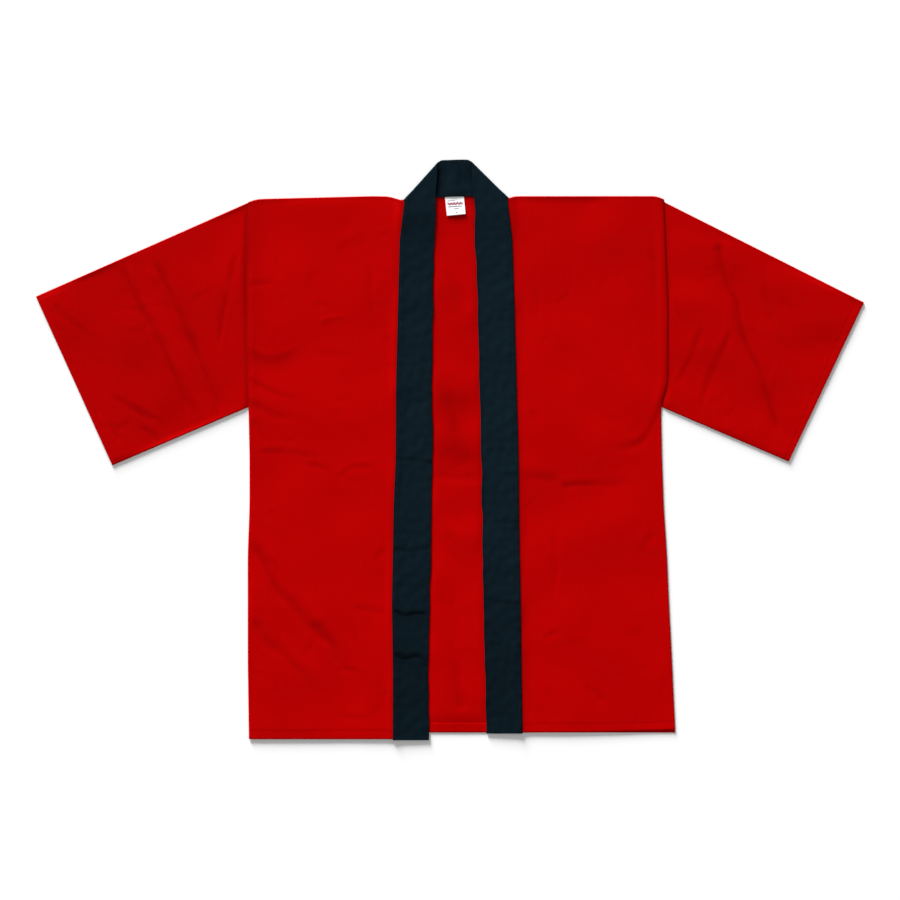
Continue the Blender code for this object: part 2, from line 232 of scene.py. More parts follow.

# %% [markdown]
# ## Creases
#
# Cotton that was folded in a packet keeps its press folds, and pulling a sleeve flat leaves slanted
# creases at the armhole. Each one here is listed: a line of a few points, its depth, its width, and
# how far it leans. A leaning crease has a crest along the side that faces the collar, or along the
# other side where the lean is below zero. A depth below zero is a plain ridge. The head and the tail
# say over how many millimetres it dies out at its first and its last point.
#
# Relief this shallow shows little in even light, so each crease also has a painted shade: the
# share of its brightness that is taken out of the cloth's colour along its trough.
#
# A simulation would make other creases each time its settings change. A table is easy to correct,
# one crease at a time.

# %% The table of creases
Crease = namedtuple("Crease", "piece depth shade width lean head tail points")
CREASES = (
    Crease("right_front", -0.35, 0.13, 6.0, 0, 1, 45, ((-289, 147), (-277, 138), (-262, 133), (-241, 136),
           (-217, 149), (-198, 166))),
    Crease("right_front", -0.30, 0.09, 5.0, 0, 10, 45, ((-190, 180), (-176, 187), (-157, 190), (-130, 187))),
    Crease("right_front", 0.40, 0.06, 5.0, 0.4, 40, 30, ((-114, 270), (-113, 218), (-109, 191), (-100, 158))),
    Crease("right_front", 0.25, 0.07, 5.0, 0.4, 1, 22, ((-289, 236), (-265, 238), (-240, 241))),
    Crease("right_front", 0.20, 0.03, 6.0, 0.3, 12, 12, ((-250, 240), (-246, 262), (-242, 284))),
    Crease("right_front", 0.35, 0.10, 5.0, 0.4, 1, 95, ((-289, 101), (-267, 88), (-241, 77), (-190, 66))),
    Crease("right_front", 0.30, 0.09, 5.0, 0.4, 1, 95, ((-289, 72), (-262, 54), (-238, 46), (-182, 43))),
    Crease("right_front", 0.35, 0.07, 5.0, 0.4, 2, 30, ((-286, 42), (-272, 24), (-255, -3))),
    Crease("right_front", 0.30, 0.16, 4.5, 0.5, 25, 60, ((-284, -4), (-241, -4), (-201, -9), (-170, -12))),
    Crease("right_front", 0.30, 0.12, 4.5, 0.5, 18, 35, ((-212, -20), (-190, -24), (-170, -32), (-158, -42))),
    Crease("right_front", 0.30, 0.06, 4.5, 0.5, 12, 20, ((-162, -44), (-146, -30), (-132, -26), (-104, -26))),
    Crease("right_front", 0.90, 0.14, 7.5, 0.4, 20, 110, ((-287, -128), (-268, -160), (-246, -205),
           (-226, -222), (-207, -247), (-190, -260), (-166, -284), (-157, -307), (-133, -324), (-112, -349))),
    Crease("right_front", 0.35, 0.06, 5.0, 0.4, 10, 30, ((-264, -150), (-250, -172), (-244, -196))),
    Crease("right_front", 0.60, 0.09, 8.0, 0.4, 20, 60, ((-284, -240), (-262, -277), (-244, -291),
           (-215, -320), (-194, -346), (-182, -366))),
    Crease("right_front", 0.20, 0.04, 6.0, 0.4, 25, 12,
           ((-170, -380), (-136, -386), (-110, -384), (-99, -362))),
    Crease("right_front", 0.25, 0.07, 5.0, 0.5, 12, 4, ((-142, -227), (-112, -232), (-86, -236))),
    Crease("left_front", 0.45, 0.11, 5.5, 0.5, 4, 60, ((303, 58), (286, 25), (270, 8), (246, 2), (218, -1))),
    Crease("left_front", 0.50, 0.05, 5.5, 0.4, 10, 60, ((292, 320), (295, 259), (297, 190))),
    Crease("left_front", 0.30, 0.04, 5.0, 0.4, 14, 14, ((123, 232), (126, 210), (128, 184))),
    Crease("left_front", 0.30, 0.11, 7.0, 0.5, 25, 25, ((94, -36), (122, -40), (151, -43), (163, -50))),
    Crease("left_front", 0.40, 0.13, 6.0, 0.6, 12, 60, ((156, -55), (177, -51), (224, -50), (270, -47))),
    Crease("left_front", 0.40, 0.03, 5.0, 0.4, 30, 30, ((150, -105), (152, -160), (151, -215))),
    Crease("left_front", 0.25, 0.05, 4.5, 0.4, 10, 10, ((132, -272), (150, -264), (160, -262))),
    Crease("left_front", 0.40, 0.06, 5.0, 0.4, 14, 14, ((190, -336), (208, -350), (226, -366))),
    Crease("right_sleeve", 1.00, 0.10, 5.0, 0.8, 12, 30, ((-470, 262), (-442, 201), (-409, 138), (-368, 44))),
    # A shade below zero paints light: a lighter strip between two press folds.
    Crease("right_sleeve", 0.0, -0.04, 13.0, 0, 10, 20, ((-447, 266), (-414, 198), (-385, 136), (-347, 52))),
    Crease("right_sleeve", 1.00, 0.15, 5.5, -0.8, 20, 25,
           ((-424, 270), (-387, 195), (-362, 135), (-326, 54))),
    Crease("right_sleeve", 0.45, 0.13, 4.0, 0.3, 10, 40,
           ((-307, 282), (-318, 225), (-326, 188), (-334, 135))),
    Crease("right_sleeve", 0.45, 0.06, 6.0, 0.5, 10, 22,
           ((-568, 210), (-552, 188), (-530, 172), (-522, 150))),
    Crease("right_sleeve", 0.50, 0.10, 5.0, 0.5, 20, 20, ((-490, 78), (-460, 62), (-424, 39))),
    Crease("right_sleeve", 0.40, 0.08, 5.0, 0.5, 6, 10, ((-489, 40), (-482, 26), (-472, 10))),
    Crease("right_sleeve", 0.40, 0.08, 5.0, 0.5, 10, 10, ((-446, 34), (-426, 20), (-412, 10))),
    Crease("left_sleeve", 0.90, 0.17, 5.5, 0.4, 10, 35, ((384, 296), (398, 236), (411, 212), (416, 179),
           (429, 141), (444, 112), (457, 71), (475, 14))),
    Crease("left_sleeve", 0.45, 0.09, 5.0, 0.5, 25, 35, ((407, 178), (385, 126), (372, 100), (358, 56))),
    Crease("left_sleeve", 0.45, 0.08, 5.0, 0.5, 18, 25, ((364, 179), (350, 140), (338, 115), (322, 87))),
    Crease("left_sleeve", 0.40, 0.04, 6.0, 0.4, 20, 25, ((453, 272), (453, 234), (466, 170))),
    Crease("collar", 0.30, 0.30, 6.0, 0.4, 5, 10, ((-70, 309), (-52, 325), (-24, 336))),
    Crease("collar", 0.25, 0.30, 3.0, 0.5, 4, 4, ((-79, -14), (-52, -15), (-24, -19))),
    Crease("collar", 0.25, 0.30, 3.0, 0.5, 4, 4, ((-81, -142), (-56, -145), (-26, -140))),
    Crease("collar", 0.35, 0.75, 3.0, 0.6, 6, 10, ((-84, -229), (-66, -237), (-50, -235), (-28, -236))),
    Crease("collar", 0.35, 0.75, 3.0, 0.6, 8, 4, ((-83, -291), (-66, -299), (-48, -296), (-30, -304))),
    Crease("collar", 0.20, 0.25, 3.0, 0.5, 6, 4, ((66, -34), (82, -35), (100, -35))),
    Crease("collar", 0.25, 0.40, 3.0, 0.5, 6, 4, ((62, -102), (80, -104), (101, -104))),
    Crease("collar", 0.25, 0.30, 3.2, 0.5, 4, 4, ((50, -214), (75, -219), (102, -221))),
    Crease("collar", 0.20, 0.25, 3.0, 0.5, 6, 12, ((50, -278), (62, -279), (80, -280))),
    Crease("neck", 0.30, 0.45, 2.5, 0, 6, 8, ((14, 415), (13, 395), (12, 372))),
    Crease("neck", 0.0, 0.55, 5.0, 0, 4, 4, ((-15, 416), (-17, 392), (-20, 362))),
    Crease("neck", 0.0, 0.55, 5.0, 0, 4, 4, ((27, 416), (31, 390), (34, 362))),
    Crease("back", 0.40, 0.09, 9.0, 0.4, 15, 20, ((-8, 262), (9, 227), (17, 180))),
    Crease("back", 0.70, 0.12, 14.0, 0.3, 35, 14, ((-16, 100), (0, 62), (7, 27), (14, -2), (26, -30))),
    Crease("back", 0.25, 0.03, 6.0, -0.9, 4, 4, ((-32, -38), (6, -41), (52, -42))),
    Crease("back", 0.40, 0.04, 7.0, 0.4, 12, 16, ((-1, -116), (8, -153), (24, -182))),
    Crease("back", 0.40, 0.04, 7.0, 0.4, 12, 16, ((2, -212), (6, -230), (15, -272))),
    Crease("back", 0.60, 0.11, 10.0, 0.3, 30, 14, ((-6, -262), (6, -305), (11, -342), (20, -378))),
)
print("creases placed by hand:", len(CREASES))

# %% [markdown]
# Some places are a little darker over a finger's or a hand's width. Most are painted shade, as where
# the cloth lies a little turned from the light, and one patch is the label's painted shadow on the
# back; the collar is darker towards its lower ends. A patch gives the middle of such a place, how wide
# and high it is, and the share of its brightness that is taken out of the colour there.

# %% The table of shade patches
ShadePatch = namedtuple("ShadePatch", "piece x y wide high shade")
SHADE_PATCHES = (
    ShadePatch("right_sleeve", -470, 140, 110, 150, 0.09),
    ShadePatch("right_sleeve", -400, 170, 160, 200, 0.05),
    ShadePatch("left_sleeve", 440, 160, 230, 200, 0.07),
    ShadePatch("left_front", 210, 300, 150, 70, 0.05),
    ShadePatch("left_front", 290, 200, 26, 160, 0.05),
    ShadePatch("left_front", 190, -45, 110, 36, 0.06),
    ShadePatch("left_front", 200, -250, 160, 190, 0.03),
    ShadePatch("left_front", 220, -360, 110, 70, 0.02),
    ShadePatch("right_front", -248, 128, 28, 13, 0.07),
    ShadePatch("right_front", -278, 250, 14, 80, 0.06),
    ShadePatch("right_front", -270, -20, 24, 22, 0.05),
    ShadePatch("right_front", -240, -345, 60, 60, 0.07),
    ShadePatch("right_front", -175, -285, 30, 40, 0.04),
    ShadePatch("right_front", -110, -350, 16, 30, 0.05),
    ShadePatch("back", 0, 60, 60, 150, 0.06),
    ShadePatch("back", 10, -12, 60, 40, 0.05),
    ShadePatch("back", 12, -385, 40, 30, 0.12),
    # The label's painted shadow on the back, under its raised lower end.
    ShadePatch("back", 9, 331, 17, 6, 0.24),
    ShadePatch("collar", -56, -330, 70, 150, 0.30),
    ShadePatch("collar", 78, -330, 70, 150, 0.32),
    # Painted shade on the collar behind the neck, just above the label.
    ShadePatch("neck", 8, 368, 30, 8, 0.25),
)
print("dull patches placed by hand:", len(SHADE_PATCHES))

# %% [markdown]
# A crease follows a smooth curve through its few points. Every point of the cloth then needs three
# numbers: how far it is from the curve, on which side, and how far along it.

# %% A smooth line, and every point's place beside it
LINE_STEP = 4.0


def curve_through(points):
    """A smooth line through a few points, with a point about every LINE_STEP."""
    knots = np.array(points, float)
    knots = np.vstack([2 * knots[0] - knots[1], knots, 2 * knots[-1] - knots[-2]])
    line = []
    for a, b, c, d in zip(knots, knots[1:], knots[2:], knots[3:]):
        count = max(1, round(float(np.linalg.norm(c - b)) / LINE_STEP))
        t = np.arange(count)[:, None] / count
        cubic = (3 * b - a - 3 * c + d) * t ** 3
        line.append((2 * b + (c - a) * t + (2 * a - 5 * b + 4 * c - d) * t ** 2 + cubic) / 2)
    return np.vstack(line + [knots[-2:-1]])


def from_line(line, x, y):
    """Of every point: how far it is from the line, on which side, and how far along the line."""
    away = np.full(x.shape, 1e9)
    along = np.zeros(x.shape)
    hand = np.ones(x.shape)
    done = 0.0
    for start, end in zip(line, line[1:]):
        run = end - start
        length = float(np.hypot(*run))
        share = np.clip(((x - start[0]) * run[0] + (y - start[1]) * run[1]) / length ** 2, 0, 1)
        dx = x - start[0] - share * run[0]
        dy = y - start[1] - share * run[1]
        distance = np.hypot(dx, dy)
        nearer = distance < away
        away = np.where(nearer, distance, away)
        along = np.where(nearer, done + share * length, along)
        hand = np.where(nearer, np.where(run[0] * dy - run[1] * dx >= 0, 1.0, -1.0), hand)
        done += length
    return away, hand, along, done


print("points along the first crease:", len(curve_through(CREASES[0].points)))

# %% [markdown]
# Across the curve, a crease is a rounded trough with a crest beside it. Its painted shade has a dark
# narrow core and a fainter, wider surround. Along the curve it swells and sinks a little, so that no
# crease looks ruled.

# %% The form of a crease
CREST_TOWARDS = (0.3, 0.95)
RELIEF = 0.8
CREST_PLACE = 1.5
CREST_BREADTH = 1.25
CREST_SHARE = 0.75
CORE_SHARE = 0.65
CORE_SHARPNESS = 1.5
SURROUND_BREADTH = 1.9
NEAR_WIDTHS = 5


def eased(share):
    """0 to 1 with a soft start and end."""
    share = np.clip(share, 0, 1)
    return share * share * (3 - 2 * share)


def crease_form(crease, number, x, y):
    """The height of one crease at every point, and the shade painted into the cloth's colour there."""
    line = curve_through(crease.points)
    reach = NEAR_WIDTHS * crease.width
    near = (x > line[:, 0].min() - reach) & (x < line[:, 0].max() + reach)
    near &= (y > line[:, 1].min() - reach) & (y < line[:, 1].max() + reach)
    form = np.zeros((2, *x.shape))
    if not near.any():
        return form
    away, hand, along, length = from_line(line, x[near], y[near])
    chord = line[-1] - line[0]
    crest_hand = 1 if chord[0] * CREST_TOWARDS[1] - chord[1] * CREST_TOWARDS[0] >= 0 else -1
    uneven = 1 + 0.24 * np.sin(along / 19 + number) + 0.16 * np.sin(along / 7.3 + 2 * number)
    strength = uneven * eased(along / crease.head) * eased((length - along) / crease.tail)
    place = hand * crest_hand * away / (crease.width * (1 + 0.2 * np.sin(along / 23 + 3 * number)))
    trough = np.exp(-(place ** 2))
    crest_place = CREST_PLACE if crease.lean > 0 else -CREST_PLACE
    crest = CREST_SHARE * abs(crease.lean) * np.exp(-(((place - crest_place) / CREST_BREADTH) ** 2))
    form[0, near] = RELIEF * crease.depth * strength * (crest - trough)
    core = CORE_SHARE * np.exp(-((CORE_SHARPNESS * place) ** 2))
    surround = (1 - CORE_SHARE) * np.exp(-((place / SURROUND_BREADTH) ** 2))
    form[1, near] = crease.shade * strength * (core + surround)
    return form


def creased(piece, x, y):
    """All the creases and shade patches of a piece, as one height and one painted shade."""
    form = np.zeros((2, *x.shape))
    for number, crease in enumerate(CREASES):
        if crease.piece == piece:
            form += crease_form(crease, number, x, y)
    for patch in SHADE_PATCHES:
        if patch.piece == piece:
            spread = ((x - patch.x) / patch.wide) ** 2 + ((y - patch.y) / patch.high) ** 2
            form[1] += patch.shade * np.exp(-spread)
    return form


print("pieces with creases:", ", ".join(sorted({crease.piece for crease in CREASES})))

# %% [markdown]
# Between its creases the cloth isn't a plane. It rolls gently, and it is full of small, faint
# crumples from washing. The roll is a sum of waves in random directions, each lower the shorter it
# is. The crumples are more creases of the same kind, short and shallow, strewn by a random draw
# with a fixed seed, so that every run gives the same cloth.

# %% Rolling and crumpling
CRUMPLE_SHORTEST = 22
CRUMPLE_LONGER = 60
CRUMPLE_BEND = 0.5
CRUMPLE_SHALLOWEST = 0.06
CRUMPLE_DEEPER = 0.16
CRUMPLE_NARROWEST = 3.5
CRUMPLE_WIDER = 4.5
CRUMPLE_SHADE = 0.12
CRUMPLE_LEAN = 0.8


def rolling(seed, x, y, height, shortest, longest, waves=22):
    """A gentle roll of about this height, from waves between the two lengths."""
    draw = np.random.default_rng(seed)
    total = np.zeros(x.shape)
    for _ in range(waves):
        length = shortest * (longest / shortest) ** draw.random()
        heading = draw.random() * pi
        phase = draw.random() * 2 * pi
        total += length * np.sin(2 * pi * (x * cos(heading) + y * sin(heading)) / length + phase)
    return height * total / (longest * (waves / 6) ** 0.5)


def crumpled(seed, count, low, high, x, y):
    """Short faint creases strewn over the box between two corners: their height and painted shade."""
    draw = np.random.default_rng(seed)
    form = np.zeros((2, *x.shape))
    for number in range(count):
        start = low + (high - low) * draw.random(2)
        heading = draw.random() * pi
        length = CRUMPLE_SHORTEST + CRUMPLE_LONGER * draw.random() ** 2
        bend = (draw.random() - 0.5) * CRUMPLE_BEND * length
        run = np.array((cos(heading), sin(heading))) * length
        middle = start + run / 2 + np.array((-run[1], run[0])) / length * bend
        depth = CRUMPLE_SHALLOWEST + CRUMPLE_DEEPER * draw.random() ** 2
        width = CRUMPLE_NARROWEST + CRUMPLE_WIDER * draw.random()
        faint = Crease("", depth, CRUMPLE_SHADE * depth, width, CRUMPLE_LEAN, length / 2, length / 2,
                       (start, middle, start + run))
        form += crease_form(faint, number, x, y)
    return form


print("longest crumple in mm:", CRUMPLE_SHORTEST + CRUMPLE_LONGER)

# %% [markdown]
# ## From a grid to a cloth
#
# Every panel is a grid of squares, as woven cloth is. Blender's grid primitive gives the mesh and
# its faces; the rows and columns are then moved to the places that the form gives them. Solidify
# gives the cloth its thickness. The UV map holds the place on the flat cut, in metres, so that the
# weave keeps its size and follows the cloth round every fold. The painted shade of its creases is
# kept as one number at every point, an attribute, which the material takes out of the colour.
#
# The squares are small where cloth bends sharply, along its edges, and larger between them.

# %% Helpers for grids
def steps(length, step, first=(), last=()):
    """Places from 0 to length: fine ones near either end, and even steps between them."""
    start = first[-1] if len(first) else 0.0
    stop = length - (last[-1] if len(last) else 0.0)
    count = max(1, round((stop - start) / step))
    middle = list(np.linspace(start, stop, count + 1))
    return np.array(list(first[:-1]) + middle + [length - offset for offset in last[-2::-1]])


def run_lengths(points, axis):
    """How far along each line of a grid every point is, along this axis of the grid."""
    legs = np.linalg.norm(np.diff(points, axis=axis), axis=2)
    return np.concatenate([np.zeros_like(legs.take([0], axis)), np.cumsum(legs, axis)], axis)


def facing(points):
    """The unit normal at every point of a grid."""
    across = np.gradient(points, axis=1)
    along = np.gradient(points, axis=0)
    normal = np.cross(across, along)
    return normal / np.maximum(np.linalg.norm(normal, axis=2, keepdims=True), 1e-9)


def flat_cut(points):
    """The flat cut of a panel that isn't folded: x as it lies, and the length of cloth down to it."""
    return np.stack([points[..., 0], -run_lengths(points, 0)], axis=2)


print("example of steps in mm:", steps(20.0, 4.0, (0, 1), (0, 2)).round(1).tolist())

# %% [markdown]
# A shell of cloth is as thick as the cloth, and its points run in the middle of that thickness. None
# of it dips below the surface that the coat lies on: the lowest points are lifted to rest just above.

# %% Making a cloth
CLOTH = 0.4
SHARP = radians(50)
RESTING = 0.05


def make_cloth(name, points, cut, material, shade=None, thickness=CLOTH):
    """A piece of cloth from a grid of points (rows, columns, 3) and its flat cut (rows, columns, 2).

    Rows that the shade doesn't have, such as those of a turned hem, take that of its last row.
    """
    rows, columns = points.shape[:2]
    bpy.ops.object.select_all(action="DESELECT")
    bpy.ops.mesh.primitive_grid_add(x_subdivisions=columns - 1, y_subdivisions=rows - 1, size=1)
    piece = bpy.context.object
    piece.name = name
    mesh = piece.data
    mesh.name = name
    place = np.empty(rows * columns * 3)
    mesh.vertices.foreach_get("co", place)
    place = place.reshape(-1, 3) + 0.5
    row = np.rint(place[:, 1] * (rows - 1)).astype(int)
    column = np.rint(place[:, 0] * (columns - 1)).astype(int)
    lowest = np.array((-np.inf, -np.inf, thickness / 2 + RESTING))
    mesh.vertices.foreach_set("co", (np.maximum(points[row, column], lowest) * MM).ravel())
    corner = np.empty(len(mesh.loops), int)
    mesh.loops.foreach_get("vertex_index", corner)
    mesh.uv_layers[0].data.foreach_set("uv", (cut[row, column][corner] * MM).ravel())
    # The painted shade is kept at every point, for the material to darken the colour by.
    if shade is not None:
        shade = np.pad(shade, ((0, rows - len(shade)), (0, 0)), "edge")
        painted_shade_layer = mesh.attributes.new("shade", "FLOAT", "POINT")
        painted_shade_layer.data.foreach_set("value", shade[row, column].astype(np.float32))
    mesh.materials.append(material)
    wall = piece.modifiers.new("wall", "SOLIDIFY")
    wall.thickness = thickness * MM
    wall.offset = 0
    bpy.ops.object.modifier_apply(modifier="wall")
    bpy.ops.object.shade_smooth_by_angle(angle=SHARP)
    mesh.update()
    print(name, "triangles:", sum(len(face.vertices) - 2 for face in mesh.polygons))
    return piece


print("thickness of the cloth in mm:", CLOTH)

# %% [markdown]
# A cloth then takes the place of the solid that it stands for: it hangs under the frame's root, and
# the solid is hidden.

# %% Declaring a cloth
def declare(piece, node):
    """Hangs a cloth under the frame's root and hides the solid that it stands for."""
    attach(piece, "root")
    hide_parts(node)


print("solids to dress:", len(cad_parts))

# %% [markdown]
# ## Red and black cotton
#
# Both cloths are a plain weave: each thread goes over one and under one. The product of two sines
# changes its sign from crossing to crossing like a chessboard, and its size is one rounded bump for
# each crossing, so one formula gives both the relief and which thread is on top. The same bumps paint
# shade into the colour between the crossings. A spun thread is thicker and thinner along its length,
# which shows as short faint streaks both ways. Dye takes a little unevenly over a hand's width, and
# the painted shade of the creases and edges darkens it. Matt cotton has next to no gloss. The little
# it has, and the bloom of its loose fibres, are tinted with the cloth's own colour.

# %% Material helpers
THREAD = 0.00055


def new_material(name):
    material = bpy.data.materials.new(name)
    material.use_nodes = True
    return material, material.node_tree, material.node_tree.nodes["Principled BSDF"]


def math_node(tree, operation, first, second=None):
    node = tree.nodes.new("ShaderNodeMath")
    node.operation = operation
    for socket, value in zip(node.inputs, (first, second)):
        if value is None:
            continue
        if isinstance(value, (int, float)):
            socket.default_value = value
        else:
            tree.links.new(value, socket)
    return node.outputs[0]


def streaks(tree, uv, stretch, detail=2.0):
    """Noise stretched along one thread direction, from -0.5 to 0.5."""
    mapping = tree.nodes.new("ShaderNodeMapping")
    mapping.inputs["Scale"].default_value = stretch
    tree.links.new(uv, mapping.inputs["Vector"])
    texture = tree.nodes.new("ShaderNodeTexNoise")
    texture.inputs["Scale"].default_value = 1.0
    texture.inputs["Detail"].default_value = detail
    tree.links.new(mapping.outputs[0], texture.inputs["Vector"])
    return math_node(tree, "SUBTRACT", texture.outputs["Fac"], 0.5)


def blended(tree, share, first, second):
    """The first colour where the share is 0 and the second where it is 1.

    A Mix node has sockets for every kind of value. Those for colours are inputs 6 and 7 and output 2.
    """
    blend = tree.nodes.new("ShaderNodeMix")
    blend.data_type = "RGBA"
    blend.inputs[6].default_value = (*first, 1)
    blend.inputs[7].default_value = (*second, 1)
    tree.links.new(share, blend.inputs[0])
    return blend.outputs[2]


def add_relief(tree, surface, relief, strength, distance):
    """Relief that is too fine for a mesh, as a bump."""
    bump = tree.nodes.new("ShaderNodeBump")
    bump.inputs["Strength"].default_value = strength
    bump.inputs["Distance"].default_value = distance
    tree.links.new(relief, bump.inputs["Height"])
    tree.links.new(bump.outputs[0], surface.inputs["Normal"])


print("from thread to thread in mm:", round(THREAD / MM, 2))

# %% [markdown]
# The two cottons differ only in their colours, their bloom and how far their threads stand out, so
# one function makes both.

# %% The cotton
LONG_STREAKS = (700, 22, 1)
CROSS_STREAKS = (22, 700, 1)
DYE_PATCHES = (14, 14, 1)
DYE_SHARE = 0.4
LONG_SHARE = 0.4
CROSS_SHARE = 0.3
CROSSING_SHARE = 0.06
HUMP_SHADE_SHARE = 0.35
TONE_BASE = 0.33
HUMP_ROUNDNESS = 0.6
SLUB_RELIEF = 0.8
THREAD_HEIGHT = 0.00012


def make_cotton(name, deep, full, sheen, sheen_tint, thread_relief):
    """Plain-woven cotton between a deep and a full shade of one colour."""
    material, tree, surface = new_material(name)
    uv = tree.nodes.new("ShaderNodeUVMap").outputs[0]
    split = tree.nodes.new("ShaderNodeSeparateXYZ")
    tree.links.new(uv, split.inputs[0])
    warp = math_node(tree, "SINE", math_node(tree, "MULTIPLY", split.outputs[0], pi / THREAD))
    weft = math_node(tree, "SINE", math_node(tree, "MULTIPLY", split.outputs[1], pi / THREAD))
    crossing = math_node(tree, "MULTIPLY", warp, weft)
    hump = math_node(tree, "POWER", math_node(tree, "ABSOLUTE", crossing), HUMP_ROUNDNESS)
    long_slub = streaks(tree, uv, LONG_STREAKS)
    cross_slub = streaks(tree, uv, CROSS_STREAKS)
    dye = streaks(tree, uv, DYE_PATCHES, detail=3.0)
    tone = math_node(tree, "MULTIPLY", dye, DYE_SHARE)
    # The hump darkens the colour between the crossings: painted shade in the weave's valleys.
    for part, share in ((long_slub, LONG_SHARE), (cross_slub, CROSS_SHARE),
                        (crossing, CROSSING_SHARE), (hump, HUMP_SHADE_SHARE)):
        tone = math_node(tree, "ADD", tone, math_node(tree, "MULTIPLY", part, share))
    tone = math_node(tree, "ADD", tone, TONE_BASE)
    colour = blended(tree, tone, deep, full)
    # The shade attribute holds painted shade, with some uneven tone on the collar: each point's share is
    # taken out of the colour.
    shade = tree.nodes.new("ShaderNodeAttribute")
    shade.attribute_name = "shade"
    painted_shade_colour = tree.nodes.new("ShaderNodeVectorMath")
    painted_shade_colour.operation = "SCALE"
    tree.links.new(colour, painted_shade_colour.inputs[0])
    tree.links.new(math_node(tree, "SUBTRACT", 1.0, shade.outputs["Fac"]), painted_shade_colour.inputs["Scale"])
    tree.links.new(painted_shade_colour.outputs[0], surface.inputs["Base Color"])
    relief = hump
    for slub in (long_slub, cross_slub):
        relief = math_node(tree, "ADD", relief, math_node(tree, "MULTIPLY", slub, SLUB_RELIEF))
    add_relief(tree, surface, relief, thread_relief, THREAD_HEIGHT)
    surface.inputs["Roughness"].default_value = 0.92
    surface.inputs["Specular IOR Level"].default_value = 0.06
    surface.inputs["Specular Tint"].default_value = (*sheen_tint, 1)
    surface.inputs["Sheen Weight"].default_value = sheen
    surface.inputs["Sheen Roughness"].default_value = 0.6
    surface.inputs["Sheen Tint"].default_value = (*sheen_tint, 1)
    return material


red_cotton = make_cotton("red_plain_weave", deep=(0.38, 0.0001, 0.0002), full=(0.48, 0.0003, 0.0006),
                         sheen=0.015, sheen_tint=(1.0, 0.02, 0.025), thread_relief=0.25)
black_cotton = make_cotton("black_plain_weave", deep=(0.0018, 0.0062, 0.0098),
                           full=(0.0042, 0.0105, 0.0155), sheen=0.02, sheen_tint=(0.35, 0.7, 1.0),
                           thread_relief=0.4)
print("materials:", red_cotton.name, black_cotton.name)

# %% [markdown]
# ## Edges that roll and edges that are turned
#
# Where two layers meet along a fold or a closed seam, each of them bends towards the other within a
# millimetre or two. That roll catches the light and is what makes a garment look like cloth and not
# like card. A hem is different: the cloth turns back over itself and is stitched down, so its mesh
# has rows that go round a tiny half circle and run back on the inner side. Beside a seam or a step
# in the layers less light reaches the cloth, and painted shade darkens its colour there as well.

# %% Rolled edges and turned hems
ROLL_OFFSETS = (0.0, 0.08, 0.25, 0.5, 0.85, 1.3, 1.9, 2.8, 4.0, 5.6)
TURN_RADIUS = 0.24
TURN_STEPS = 6
HEM_DEPTH = 13.6
STITCH_IN = 12.5
HEM_ROWS = (0.0, 3.0, 6.0, 9.0, 10.8, 11.8, STITCH_IN, 13.2, 14.2, 16.0)
STITCH_ROW = -1 - HEM_ROWS.index(STITCH_IN)


def rolled(height, away, edge_height, reach):
    """Bends a height down or up to that of the edge, round a quarter ellipse."""
    share = np.clip((reach - away) / reach, 0, 1)
    return edge_height + (height - edge_height) * np.sqrt(1 - share ** 2)


def softest_low(height, floor_height, softness=0.25):
    """Keeps a height above a floor with a soft knee."""
    lift = height - floor_height
    return floor_height + (lift + np.sqrt(lift ** 2 + softness ** 2)) / 2


def painted_edge_shade(gap, share, reach):
    """The painted shade along an edge: a share of brightness that fades away over about this reach."""
    return share * np.exp(-((gap / reach) ** 2))


def with_hem(points, inward, depth, tuck=0.0):
    """Adds rows after the last one, which turn the cloth over to its inner side and run back.

    inward is 1 where the inner side is along the grid's normal and -1 where it is against it.
    """
    normal = facing(points) * inward
    onward = points[-1] - points[-2]
    onward /= np.linalg.norm(onward, axis=1, keepdims=True)
    body = points.copy()
    body[-1] -= onward * TURN_RADIUS
    rows = [body[-1] + onward * TURN_RADIUS * sin(turn) + normal[-1] * TURN_RADIUS * (1 - cos(turn))
            for turn in np.linspace(0, pi, TURN_STEPS + 1)[1:]]
    from_edge = run_lengths(points[::-1], 0)[1:].mean(axis=1)
    back = max(2, int(np.count_nonzero(from_edge <= depth)))
    for step in range(1, back + 1):
        rows.append(body[-1 - step] + normal[-1 - step] * 2 * TURN_RADIUS)
    if tuck:
        edge, edge_normal = rows[-1], normal[-1 - back]
        away = body[-1 - back] - body[-back]
        away /= np.linalg.norm(away, axis=1, keepdims=True)
        radius = TURN_RADIUS / 2
        for turn in np.linspace(0, pi, TURN_STEPS + 1)[1:]:
            rows.append(edge + away * radius * sin(turn) - edge_normal * radius * (1 - cos(turn)))
        rows.append(rows[-1] - away * tuck)
    return np.concatenate([body, np.array(rows)])


print("depth of a hem in mm:", HEM_DEPTH)

# %% [markdown]
# ## Stitching
#
# A machine stitch pulls the cloth into a shallow groove, and the thread gathers it a little, which
# leaves fine puckers across the seam. Both are part of the cloth's form, and the groove also gets a
# line of painted shade.

# %% The groove and the puckers of a seam
GROOVE = 0.14
GROOVE_REACH = 1.2
GROOVE_SHADE = 0.13
PUCKER = 0.09
PUCKER_REACH = 7
PUCKER_WAVES = 7
PUCKER_SHORTEST = 9
PUCKER_LONGER = 22
PUCKER_SUM = 2.6


